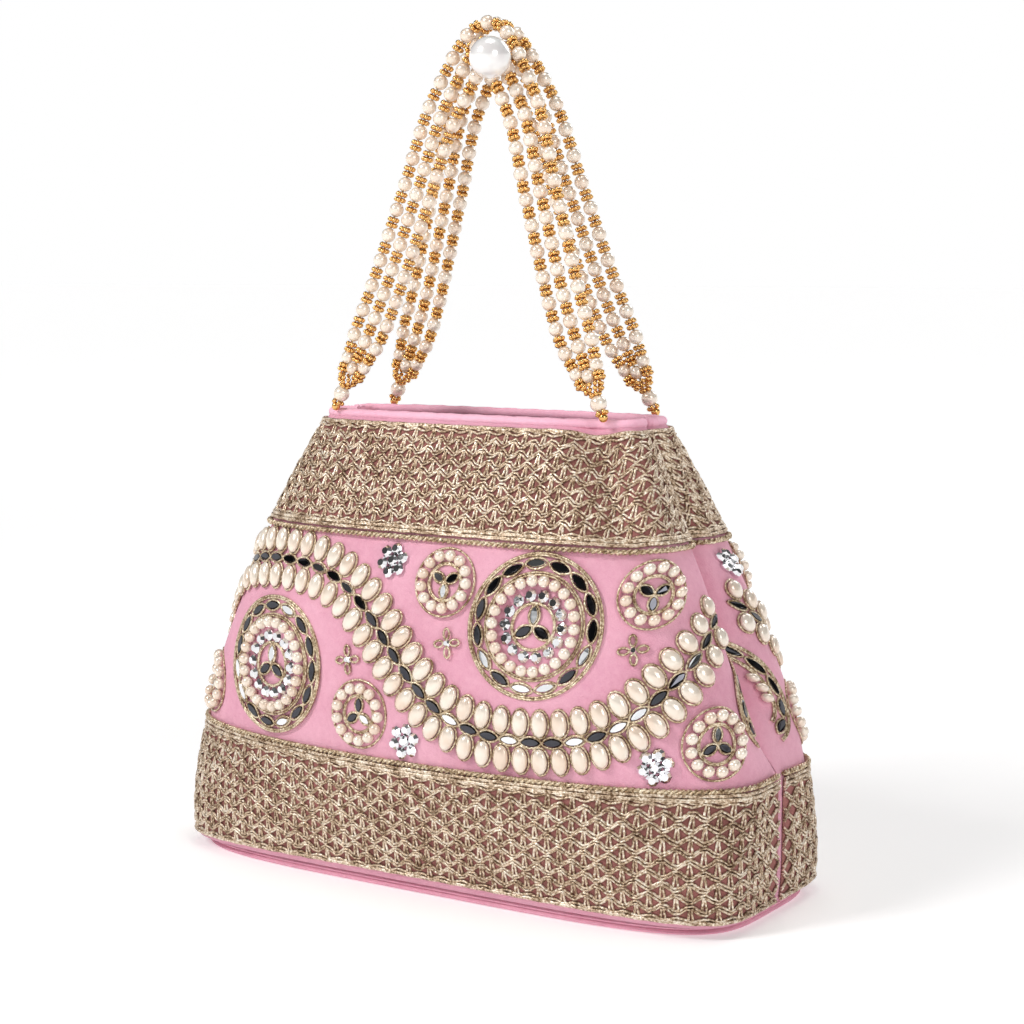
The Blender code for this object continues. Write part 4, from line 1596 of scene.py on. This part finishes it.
    def ring_cord(self, side: Side, middle: tuple[float, float], radius: float,
                  points: int = 40, squash: float = 1.0, turn: float = 0.0,
                  at: tuple[float, float] = (0.0, 0.0), pinch: float = 0.0) -> None:
        """Closed cord outline: a circle, an oval or a leaf.

        Args:
            side: Half of the bag.
            middle: Cloth place of the motif.
            radius: Half length of the outline.
            points: Corners of the outline.
            squash: Width over length.
            turn: Turn of the outline in the cloth.
            at: Flat place of its middle in the motif.
            pinch: Sharpness of its two ends.
        """
        angle = 2 * math.pi * np.arange(points) / points
        x = np.cos(angle)
        y = np.sin(angle) * squash * np.sqrt(np.maximum(1 - pinch * x ** 2, 0))
        cos, sin = math.cos(turn), math.sin(turn)
        flat = np.stack((at[0] + radius * (x * cos - y * sin),
                         at[1] + radius * (x * sin + y * cos),
                         np.full(points, self.cord_radius + self.cord_lift)), axis=-1)
        self.cords.append(self.pouch.sewn(side, middle, flat))

    def rows(self, side: Side, finishes: Wardrobe) -> None:
        """Two rows of oval pearls and the chain of leaf mirrors between them.

        Args:
            side: Half of the bag.
            finishes: Finishes of the bag.
        """
        oval = ball(0.5, 12, 7, (self.oval_length, self.oval_width, self.oval_height))
        for name, offset in (("upper_pearl_row", self.row_offset),
                             ("lower_pearl_row", -self.row_offset)):
            tray = Tray()
            for s, z, lean in self.stations(side.crest, offset, self.oval_pitch):
                middle, turn = (s, z), lean + math.pi / 2
                out = 0.42 * self.oval_height
                self.sew(tray, side, middle, oval, (0.0, 0.0, turn, out), 0)
                self.ring_cord(side, middle, self.oval_length * 0.53, 16,
                               self.oval_width / self.oval_length * 1.08, turn)
            item = tray.serve(f"{side.label}_{name}_beads", finishes.pearl)
            settle(item, BAG, Slot.PEARL, f"{side.label}_{name}")
        glass = leaf(self.mirror_length, self.mirror_width, self.leaf_height)
        tray = Tray(dark=1)
        for s, z, lean in self.stations(side.crest, 0.0, self.mirror_pitch):
            self.sew(tray, side, (s, z), glass, (0.0, 0.0, lean, self.glass_lift),
                     0, True)
            self.ring_cord(side, (s, z), self.mirror_length * 0.56, 14,
                           self.mirror_width / self.mirror_length * 1.15, lean, pinch=self.pinch)
        item = tray.serve(f"{side.label}_mirror_row_glass", finishes.mirror, finishes.dark_mirror)
        settle(item, BAG, Slot.MIRROR, f"{side.label}_mirror_row")

    def places(self, motif: Motif, side: Side) -> list[tuple[float, float]]:
        """Every repeat of a motif that lies whole between the two ridges.

        Args:
            motif: Kind of motif.
            side: Half of the bag.

        Returns:
            Cloth length and height of each.
        """
        found = []
        for turn in (-1, 0, 1):
            for along, z in motif.spots:
                s = side.crest + turn * self.wave_length + along
                if abs(s) + motif.radius < float(self.pouch.ridge(z)) - self.motif_margin:
                    found.append((s, z))
        return sorted(found)

    def motifs(self, side: Side, finishes: Wardrobe) -> None:
        """Dress every round motif that has a solid.

        Args:
            side: Half of the bag.
            finishes: Finishes of the bag.
        """
        makers = {Motif.MEDALLION: self.medallion, Motif.SMALL: self.small_medallion,
                  Motif.FLOWER: self.flower}
        for motif, maker in makers.items():
            for number, middle in enumerate(self.places(motif, side), 1):
                tray = Tray()
                maker(tray, side, middle)
                item = tray.serve(f"{side.label}_{motif.label}_{number}_work",
                                  finishes.pearl, finishes.mirror, finishes.stone,
                                  finishes.dark_mirror)
                slot = Slot.MIRROR if motif is Motif.FLOWER else Slot.PEARL
                settle(item, BAG, slot, f"{side.label}_{motif.label}_{number}")

    def circle(self, tray: Tray, side: Side, middle: tuple[float, float], shape: Shape,
               radius: float, count: int, kind: int, out: float, radial: bool = False,
               start: float = 0.0) -> None:
        """Ring of copies of one shape round a motif's middle.

        Args:
            tray: Tray that gathers the copies.
            side: Half of the bag.
            middle: Cloth length and height of the motif's middle.
            shape: Shape that is repeated.
            radius: Radius of the ring.
            count: Number of copies.
            kind: Material slot.
            out: Distance out from the cloth.
            radial: Whether a copy points away from the middle.
            start: Angle of the first copy.
        """
        for index in range(count):
            angle = start + 2 * math.pi * index / count
            turn = angle if radial else angle + math.pi / 2
            self.sew(tray, side, middle, shape, (*polar(radius, angle), turn, out), kind,
                     kind > 0)

    def medallion(self, tray: Tray, side: Side, middle: tuple[float, float]) -> None:
        """Large medallion: leaves, stones, pearls and a wreath of mirrors in cords.

        Args:
            tray: Tray that gathers the copies.
            side: Half of the bag.
            middle: Cloth length and height of the motif's middle.
        """
        size = Motif.MEDALLION.radius
        inner = leaf(0.26 * size, 0.14 * size, self.leaf_height)
        self.circle(tray, side, middle, inner, self.leaf_ring * size, 3, 1, self.glass_lift,
                    True, math.pi / 2)
        self.circle(tray, side, middle, self.stone, self.stone_ring * size, self.stones, 2,
                    self.glass_lift)
        self.circle(tray, side, middle, self.pearl, self.pearl_ring * size, self.pearls, 0,
                    0.85 * self.pearl_radius)
        self.circle(tray, side, middle, self.wreath(), self.wreath_ring * size,
                    self.wreath_leaves, 1, self.glass_lift)
        for share in self.inner_cords + self.outer_cords:
            self.ring_cord(side, middle, share * size, 56)
        for index in range(self.wreath_leaves):
            self.leaf_loop(side, middle, 2 * math.pi * index / self.wreath_leaves)
        for index in range(3):
            angle = math.pi / 2 + 2 * math.pi * index / 3
            at = polar(self.leaf_ring * size, angle)
            self.ring_cord(side, middle, 0.145 * size, 14, 0.58, angle, at, self.pinch)

    def wreath(self) -> Shape:
        """Leaf mirror of the outer wreath."""
        length, width = (share * Motif.MEDALLION.radius for share in self.wreath_leaf)
        return leaf(length, width, self.leaf_height)

    def leaf_loop(self, side: Side, middle: tuple[float, float], angle: float) -> None:
        """Cord loop round one mirror of the outer wreath."""
        size = Motif.MEDALLION.radius
        self.ring_cord(side, middle, self.wreath_loop * size, 14, self.wreath_squash,
                       angle + math.pi / 2, polar(self.wreath_ring * size, angle), self.pinch)

    def small_medallion(self, tray: Tray, side: Side, middle: tuple[float, float]) -> None:
        """Small medallion: three leaf mirrors in a ring of pearls.

        Args:
            tray: Tray that gathers the copies.
            side: Half of the bag.
            middle: Cloth length and height of the motif's middle.
        """
        size = Motif.SMALL.radius
        start = math.pi / 2 if middle[1] < self.wave_height else -math.pi / 2
        glass = leaf(0.40 * size, 0.23 * size, self.leaf_height)
        self.circle(tray, side, middle, glass, 0.25 * size, 3, 1, self.glass_lift, True, start)
        self.circle(tray, side, middle, self.pearl, 0.73 * size, 13, 0,
                    0.85 * self.pearl_radius)
        for share in (0.5, 0.54, 0.95):
            self.ring_cord(side, middle, share * size, 40)
        for index in range(3):
            angle = start + 2 * math.pi * index / 3
            self.ring_cord(side, middle, 0.225 * size, 14, 0.62, angle,
                           polar(0.25 * size, angle), self.pinch)

    def flower(self, tray: Tray, side: Side, middle: tuple[float, float]) -> None:
        """Flower of seven foil stones.

        Args:
            tray: Tray that gathers the copies.
            side: Half of the bag.
            middle: Cloth length and height of the motif's middle.
        """
        ring = Motif.FLOWER.radius - self.stone_radius + 0.3 * MM
        self.circle(tray, side, middle, self.stone, ring, 6, 2, self.glass_lift, start=0.3)
        self.sew(tray, side, middle, self.stone, (0.0, 0.0, 0.0, self.glass_lift), 2)

    def seam_motifs(self, side: Side, finishes: Wardrobe) -> None:
        """The medallion that a side fold hides, as far as it shows, and flowers on a ridge.

        Args:
            side: Half of the bag.
            finishes: Finishes of the bag.
        """
        size, z = Motif.MEDALLION.radius, Motif.MEDALLION.spots[0][1]
        limit = self.wrapped(z, self.seam_wrap)
        rings = ((self.stone, self.stone_ring, self.stones, 2, self.glass_lift),
                 (self.pearl, self.pearl_ring, self.pearls, 0, self.seam_pearl_lift),
                 (self.wreath(), self.wreath_ring, self.wreath_leaves, 1, self.glass_lift))
        tray, arcs = Tray(), []
        for turn in (-1, 0, 1):
            s = side.crest + turn * self.wave_length
            middle = (s - math.copysign(self.seam_pull, s), z)
            if not limit < abs(middle[0]) < limit + size:
                continue
            for shape, share, count, kind, out in rings:
                for index in range(count):
                    angle = 2 * math.pi * index / count
                    at = polar(share * size, angle)
                    if abs(middle[0] + at[0]) > limit - self.seam_trim:
                        continue
                    turned = (*at, angle + math.pi / 2, out)
                    self.sew(tray, side, middle, shape, turned, kind, kind > 0)
                    if kind == 1:
                        self.leaf_loop(side, middle, angle)
            arcs.extend(self.seam_arcs(side, middle, limit))
        for spot in self.ridge_flowers(side):
            self.flower(tray, side, spot)
        item = tray.serve(f"{side.label}_seam_work", finishes.pearl, finishes.mirror,
                          finishes.stone, finishes.dark_mirror)
        settle(item, BAG, Slot.PEARL)
        item = threads(f"{side.label}_seam_cords", arcs, self.cord_radius, finishes.cord)
        settle(item, BAG, Slot.CORD)

    def seam_arcs(self, side: Side, middle: tuple[float, float],
                  limit: float) -> Iterable[np.ndarray]:
        """Shown arcs of the cord rings round a medallion in the fold.

        Args:
            side: Half of the bag.
            middle: Cloth length and height of the motif's middle.
            limit: Cloth length that still shows.

        Yields:
            Points of each arc.
        """
        inward = math.pi if middle[0] > 0 else 0.0
        for share in self.outer_cords:
            radius = share * Motif.MEDALLION.radius
            angle = inward + np.linspace(-math.pi / 2, math.pi / 2, 60)
            flat = np.stack((radius * np.cos(angle), radius * np.sin(angle),
                             np.full(60, self.cord_radius + self.cord_lift)), axis=-1)
            shown = flat[np.abs(middle[0] + flat[:, 0]) < limit]
            if len(shown) > 2:
                yield self.pouch.sewn(side, middle, shown)

    def ridge_flowers(self, side: Side) -> Iterable[tuple[float, float]]:
        """Places of the flowers that lie across a side ridge.

        Args:
            side: Half of the bag.

        Yields:
            Cloth length and height of each.
        """
        for turn in (-1, 0, 1):
            for along, z in Motif.FLOWER.spots:
                s = side.crest + turn * self.wave_length + along
                past = abs(s) - float(self.pouch.ridge(z))
                if -Motif.FLOWER.radius - self.motif_margin <= past < self.ridge_reach:
                    yield s, z

    def sprigs(self, side: Side, finishes: Wardrobe) -> None:
        """Tiny flowers of four thread loops round a small stone.

        Args:
            side: Half of the bag.
            finishes: Finishes of the bag.
        """
        stone = cut_stone(1.15 * MM, 1.1 * MM)
        tray = Tray()
        for along, z in self.sprig_spots:
            for turn in (-1, 0, 1):
                s = side.crest + turn * self.wave_length + along
                if abs(s) > float(self.pouch.ridge(z)) - self.sprig_margin:
                    continue
                self.sew(tray, side, (s, z), stone, (0.0, 0.0, 0.0, self.glass_lift), 0)
                for petal in range(4):
                    angle = math.pi / 2 * petal + 0.15
                    self.ring_cord(side, (s, z), self.sprig_petal, 10, 0.62, angle,
                                   polar(self.sprig_reach, angle))
        item = tray.serve(f"{side.label}_sprig_stones", finishes.stone)
        settle(item, BAG, Slot.MIRROR)


# Handles


@dataclass
class Handle:
    """Three strands of pearls and granulated gold rings, tied in at both ends."""

    pouch: Pouch
    spread: float = 44.5 * MM
    rise: float = 101.6 * MM
    hinge_out: float = 2.5 * MM
    hinge_up: float = 0.6 * MM
    crown_y: float = 2.8 * MM
    strand_pitch: float = 4.9 * MM
    end_pitch: float = 3.0 * MM
    gather_run: float = 16.0 * MM
    start: float = 9.6 * MM
    period: float = 7.4 * MM
    pearl_radius: float = 2.2 * MM
    bead_radius: float = 2.08 * MM
    grain_radius: float = 0.79 * MM
    ring_radius: float = 1.08 * MM
    grains: int = 6
    seed_radius: float = 1.3 * MM
    end_pearl_radius: float = 2.3 * MM
    crown_pearl_radius: float = 5.7 * MM
    thread_radius: float = 0.35 * MM
    ring_shift: float = 0.8 * MM
    pearl_rise: float = 4.0 * MM
    collar: tuple[tuple[float, float, int], ...] = (
        (6.6 * MM, 1.2 * MM, 6), (7.9 * MM, 2.3 * MM, 9), (9.1 * MM, 2.6 * MM, 10))
    collar_grain: float = 0.75 * MM
    tie_radius: float = 0.3 * MM
    tie_loop: float = 2.4 * MM

    def __post_init__(self) -> None:
        """Find the hinge line from the rim."""
        z = self.pouch.height
        run = np.linspace(0.0, float(self.pouch.ridge(z)), 400)
        rim = self.pouch.point(run, np.full(400, z))
        self.hinge_y = -float(np.interp(self.spread, rim[:, 0], rim[:, 1])) + self.hinge_out
        self.hinge_z = z + self.hinge_up

    def path(self, offset: float) -> tuple[np.ndarray, np.ndarray]:
        """Line of one strand in the plane of the handle, end to end.

        Args:
            offset: Number of strands away from the middle one.

        Returns:
            Places across and heights over the hinge.
        """
        rise = np.array((0.0, 0.236, 0.59, 0.85, 1.0)) * self.rise
        reach = np.array((1.0, 0.742, 0.461, 0.255, 0.0)) * self.spread
        x, h = np.append(-reach, reach[-2::-1]), np.append(rise, rise[-2::-1])
        knots = np.append(0.0, np.cumsum(np.hypot(np.diff(x), np.diff(h))))
        at = np.linspace(0.0, knots[-1], 240)
        x, h = self.smooth(knots, x, at), self.smooth(knots, h, at)
        dx, dh = np.gradient(x), np.gradient(h)
        size = np.hypot(dx, dh)
        run = np.append(0.0, np.cumsum(np.hypot(np.diff(x), np.diff(h))))
        from_end = np.minimum(run, run[-1] - run)
        spread = ease((from_end - self.start) / self.gather_run)
        shift = offset * (self.end_pitch + (self.strand_pitch - self.end_pitch) * spread)
        return x - dh / size * shift, h + dx / size * shift

    @staticmethod
    def smooth(knots: np.ndarray, values: np.ndarray, at: np.ndarray) -> np.ndarray:
        """Catmull-Rom curve through a few values.

        Args:
            knots: Running lengths of the given values.
            values: Values to pass through.
            at: Running lengths that are wanted.

        Returns:
            Values at those lengths.
        """
        slopes = np.gradient(values, knots)
        index = np.clip(np.searchsorted(knots, at) - 1, 0, len(knots) - 2)
        span = knots[index + 1] - knots[index]
        t = (at - knots[index]) / span
        first = (2 * t ** 3 - 3 * t ** 2 + 1) * values[index]
        second = (-2 * t ** 3 + 3 * t ** 2) * values[index + 1]
        lean = (t ** 3 - 2 * t ** 2 + t) * slopes[index]
        return first + second + (lean + (t ** 3 - t ** 2) * slopes[index + 1]) * span

    def place(self, way: float, x: float, h: float) -> Vector:
        """Point of the leaning plane of a handle.

        Args:
            way: -1 for the front handle and 1 for the back one.
            x: Place across.
            h: Height over the hinge.

        Returns:
            The point.
        """
        y = self.hinge_y + (self.crown_y - self.hinge_y) * h / self.rise
        return Vector((x, way * y, self.hinge_z + h))

    def build(self, finishes: Wardrobe) -> None:
        """Build both handles."""
        for side, way in ((Side.FRONT, -1.0), (Side.BACK, 1.0)):
            for number in range(3):
                self.strand(side, way, number, finishes)
            for end, sign in (("left", -1.0), ("right", 1.0)):
                self.end(side, way, end, sign, finishes)
        self.crown(finishes)

    def strand(self, side: Side, way: float, number: int, finishes: Wardrobe) -> None:
        """One beaded strand on its thread.

        Args:
            side: Half of the bag.
            way: -1 for the front handle and 1 for the back one.
            number: Strand, from 0 inside to 2 outside.
            finishes: Finishes of the bag.
        """
        x, h = self.path(number - 1.0)
        run = np.append(0.0, np.cumsum(np.hypot(np.diff(x), np.diff(h))))
        length = run[-1] - 2 * self.start
        periods = int(round(length / self.period))
        pearl = ball(self.bead_radius, 12, 7)
        small = ball(0.92 * self.bead_radius, 12, 7)
        seed = grain(self.grain_radius)
        tray = Tray()

        def spot(at: float) -> Vector:
            """Point at a run along the strand."""
            return self.place(way, float(np.interp(at, run, x)), float(np.interp(at, run, h)))

        for index in range(periods):
            middle = self.start + length * (index + 0.5) / periods
            edge = min(index, periods - 1 - index)
            axis = (spot(middle + MM) - spot(middle - MM)).normalized()
            turn = axis.to_track_quat("Z", "Y").to_matrix().to_4x4()
            if edge == 0:
                inward = 1.0 if index == 0 else -1.0
                shift = -1.3 if number == 1 else 0.7
                at = spot(middle + inward * shift * MM)
                tray.add_at(small, Matrix.Translation(at) @ turn, 0)
                steps = (1.5,) if number == 1 else (-3.0, -1.7)
                for step in steps:
                    self.gold_ring(tray, seed, spot(middle + inward * step * MM), turn, step)
            else:
                tray.add_at(pearl, Matrix.Translation(spot(middle)) @ turn, 0)
            if index < periods - 1:
                for step in (-self.ring_shift, self.ring_shift):
                    at = spot(middle + length / periods / 2 + step)
                    self.gold_ring(tray, seed, at, turn, step)
        name = f"{side.label}_handle_strand_{number + 1}"
        item = tray.serve(f"{name}_beads", finishes.pearl, finishes.gold)
        settle(item, f"{side.label}_handle", Slot.PEARL, name)
        points = np.array([spot(at) for at in np.linspace(self.start, run[-1] - self.start, 90)])
        thread = threads(f"{name}_thread", [points], self.thread_radius, finishes.cord)
        settle(thread, f"{side.label}_handle", Slot.CORD)

    def gold_ring(self, tray: Tray, seed: Shape, at: Vector, turn: Matrix, step: float) -> None:
        """Ring of tiny gold balls round a strand.

        Args:
            tray: Tray that gathers the copies.
            seed: Tiny gold ball.
            at: Middle of the ring.
            turn: Turn of the strand there.
            step: Which side of the pearl it lies on, by its sign.
        """
        for count in range(self.grains):
            angle = 2 * math.pi * (count + (0.5 if step > 0 else 0.0)) / self.grains
            offset = Vector((math.cos(angle), math.sin(angle), 0.0)) * self.ring_radius
            tray.add_at(seed, Matrix.Translation(at) @ turn @ Matrix.Translation(offset), 1)

    def end(self, side: Side, way: float, end: str, sign: float, finishes: Wardrobe) -> None:
        """Gold seeds at the rim, an end pearl and the collar that gathers the strands.

        Args:
            side: Half of the bag.
            way: -1 for the front handle and 1 for the back one.
            end: Name of the end.
            sign: -1 for the left end and 1 for the right one.
            finishes: Finishes of the bag.
        """
        axis = (self.place(way, sign * (self.spread - 0.258 * self.spread), 0.236 * self.rise)
                - self.place(way, sign * self.spread, 0.0)).normalized()
        foot = self.place(way, sign * self.spread, 0.0)
        turn = axis.to_track_quat("Z", "Y").to_matrix().to_4x4()
        tray = Tray()
        seed = ball(self.seed_radius, 10, 7)
        tiny = grain(self.collar_grain)
        pearl = ball(self.end_pearl_radius, 16, 10)
        tray.add_at(seed, Matrix.Translation(foot), 1)
        for count in range(5):
            low = Vector((*polar(self.seed_radius, 2 * math.pi * count / 5), self.seed_radius))
            tray.add_at(tiny, Matrix.Translation(foot) @ turn @ Matrix.Translation(low), 1)
        tray.add_at(pearl, Matrix.Translation(foot + axis * self.pearl_rise) @ turn, 0)
        for level, radius, count in self.collar:
            for index in range(count):
                angle = 2 * math.pi * (index + 0.3 * level / MM) / count
                at = Vector((*polar(radius, angle), level))
                tray.add_at(tiny, Matrix.Translation(foot) @ turn @ Matrix.Translation(at), 1)
        name = f"{side.label}_handle_{end}_end"
        item = tray.serve(f"{name}_beads", finishes.pearl, finishes.gold)
        settle(item, f"{side.label}_handle", Slot.GOLD, name)

    def crown(self, finishes: Wardrobe) -> None:
        """Large white pearl tied at the crown of the front handle.

        Args:
            finishes: Finishes of the bag.
        """
        low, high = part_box("crown_pearl")
        tray = Tray()
        big = ball(self.crown_pearl_radius, 36, 22)
        tray.add_at(big, Matrix.Translation((low + high) / 2))
        item = tray.serve("crown_pearl_bead", finishes.white_pearl)
        settle(item, "front_handle", Slot.PEARL, "crown_pearl")
        tie = threads("crown_pearl_tie", [self.tie((low + high) / 2)], self.tie_radius,
                      finishes.cord)
        settle(tie, "front_handle", Slot.CORD)

    def tie(self, pearl: Vector) -> np.ndarray:
        """Loop of thread from the crown pearl round the strand next to it.

        Args:
            pearl: Middle of the crown pearl.

        Returns:
            Points of the loop.
        """
        spots = [(math.hypot(x - pearl.x, self.hinge_z + h - pearl.z), offset, index)
                 for offset in (-1.0, 0.0, 1.0)
                 for index, (x, h) in enumerate(zip(*self.path(offset)))]
        _, offset, index = min(spots)
        x, h = self.path(offset)
        before, strand, after = (self.place(-1.0, float(x[at]), float(h[at]))
                                 for at in (index - 1, index, index + 1))
        out = (pearl - strand).normalized()
        across = (after - before).cross(out).normalized()
        loop = [strand + (out * math.cos(angle) + across * math.sin(angle)) * self.tie_loop
                for angle in np.linspace(0.22 * math.pi, 1.78 * math.pi, 24)]
        hole = pearl - out * 0.6 * self.crown_pearl_radius
        return np.array([hole, *loop, hole])


# Studio


@dataclass
class Studio:
    """Pale floor, soft light and the camera of the photograph."""

    eye: tuple[float, float, float] = (328.72 * MM, -497.44 * MM, 170.11 * MM)
    yaw: float = 32.93
    pitch: float = 6.54
    focal: float = 2119.34
    frame_size: float = 1024.0
    sensor: float = 36.0
    floor_reach: float = 18.0
    floor_drop: float = 0.1 * MM
    aim_height: float = 0.1
    lamps: tuple[tuple[str, tuple[float, float, float], float, float], ...] = (
        ("key", (-0.45, -0.75, 0.85), 0.3, 7.0), ("fill", (0.85, -0.45, 0.55), 0.4, 2.6),
        ("top", (0.0, 0.05, 1.1), 0.4, 2.2), ("rear", (0.1, 0.9, 0.7), 0.4, 2.6))
    sky: tuple[tuple[float, float], ...] = ((0.0, 1.0), (0.2, 1.0), (0.25, 0.04), (0.8, 0.14),
                                            (1.0, 0.25))

    def build(self) -> None:
        """Set up everything that isn't part of the bag."""
        self.floor()
        self.world()
        for lamp in self.lamps:
            self.lamp(*lamp)
        self.camera()

    def floor(self) -> None:
        """Wide floor under the bag, glowing with painted light that is dimmer near the bag."""
        bm = bmesh.new()
        bmesh.ops.create_grid(bm, x_segments=2, y_segments=2, size=self.floor_reach)
        mesh = bpy.data.meshes.new("floor")
        bm.to_mesh(mesh)
        bm.free()
        recipe = Recipe("pale_floor")
        far = recipe.node("VectorMath", output="Value", settings={"operation": "LENGTH"},
                          Vector=recipe.place())
        # Painted light: the floor glows, dim near the bag so that shadows show, brighter further
        # out.
        glow = recipe.ramp(far * 0.5, (0.10, (0.30, 0.30, 0.30)), (0.75, (0.82, 0.82, 0.82)))
        recipe.set(Base_Color=(0.90, 0.89, 0.89), Roughness=0.8,
                   Emission_Color=glow, Emission_Strength=1.0)
        item = link("floor", mesh, recipe.material)
        item.location.z = -self.floor_drop
        item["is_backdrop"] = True

    def world(self) -> None:
        """White horizon under a dim ceiling, so that mirrors have something dark to show."""
        world = bpy.data.worlds.new("studio")
        world.use_nodes = True
        nodes, links = world.node_tree.nodes, world.node_tree.links
        way, split, ramp = (nodes.new("ShaderNode" + kind)
                            for kind in ("TexCoord", "SeparateXYZ", "ValToRGB"))
        links.new(way.outputs["Generated"], split.inputs[0])
        links.new(split.outputs["Z"], ramp.inputs["Fac"])
        Recipe.fill_ramp(ramp.color_ramp, [(place, (grey,) * 3) for place, grey in self.sky])
        links.new(ramp.outputs["Color"], nodes["Background"].inputs["Color"])
        nodes["Background"].inputs["Strength"].default_value = 1.0
        bpy.context.scene.world = world
        bpy.context.scene.view_settings.view_transform = "Standard"

    def lamp(self, name: str, place: tuple[float, float, float], size: float,
             power: float) -> None:
        """Soft area lamp that faces the middle of the bag.

        Args:
            name: Name of the lamp.
            place: Where it stands.
            size: Side of its square.
            power: Power in watts.
        """
        data = bpy.data.lights.new(name, "AREA")
        data.energy = power
        data.size = size
        item = bpy.data.objects.new(name, data)
        item.location = place
        aim = Vector((0, 0, self.aim_height)) - Vector(place)
        item.rotation_euler = aim.to_track_quat("-Z", "Y").to_euler()
        bpy.context.scene.collection.objects.link(item)

    def camera(self) -> None:
        """Camera at the photograph's viewing angle."""
        data = bpy.data.cameras.new("camera")
        data.sensor_width = self.sensor
        data.lens = self.focal / self.frame_size * self.sensor
        data.clip_start = 0.01
        item = bpy.data.objects.new("camera", data)
        item.location = self.eye
        item.rotation_euler = (math.radians(90 - self.pitch), 0.0, math.radians(self.yaw))
        bpy.context.scene.collection.objects.link(item)
        bpy.context.scene.camera = item


def write_sizes() -> None:
    """Gather the CAD box and the dressed box side by side; nothing is written out."""
    boxes = {"cad": CAD_BOX, "visual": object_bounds()}
    plain = {key: [[float(v) for v in corner] for corner in box] for key, box in boxes.items()}


def main() -> None:
    """Dress the bag and set up the studio."""
    logging.basicConfig(level=logging.INFO, format="%(name)s: %(message)s")
    finishes = Wardrobe()
    pouch = Pouch()
    Foot(pouch).build(finishes)
    Panels(pouch).build(finishes)
    lower = LaceBand(pouch, "lower_lace", 5.1 * MM, 3.2 * MM, 36.5 * MM, 10, 7.0 * MM, 1, 2)
    upper = LaceBand(pouch, "upper_lace", 98.2 * MM, 98.2 * MM, 126.8 * MM, 9, 6.0 * MM, 2, 1)
    cords = (EdgeCord(pouch, "lower_cord", 37.53 * MM), EdgeCord(pouch, "upper_cord", 97.17 * MM))
    for side in Side:
        for piece in (lower, upper, *cords):
            piece.build(side, finishes)
        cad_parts[f"{side.label}_snap"].material_slots[0].material = finishes.steel
    Embroidery(pouch).build(finishes)
    Handle(pouch).build(finishes)
    Studio().build()
    write_sizes()


if __name__ == "__main__":
    main()
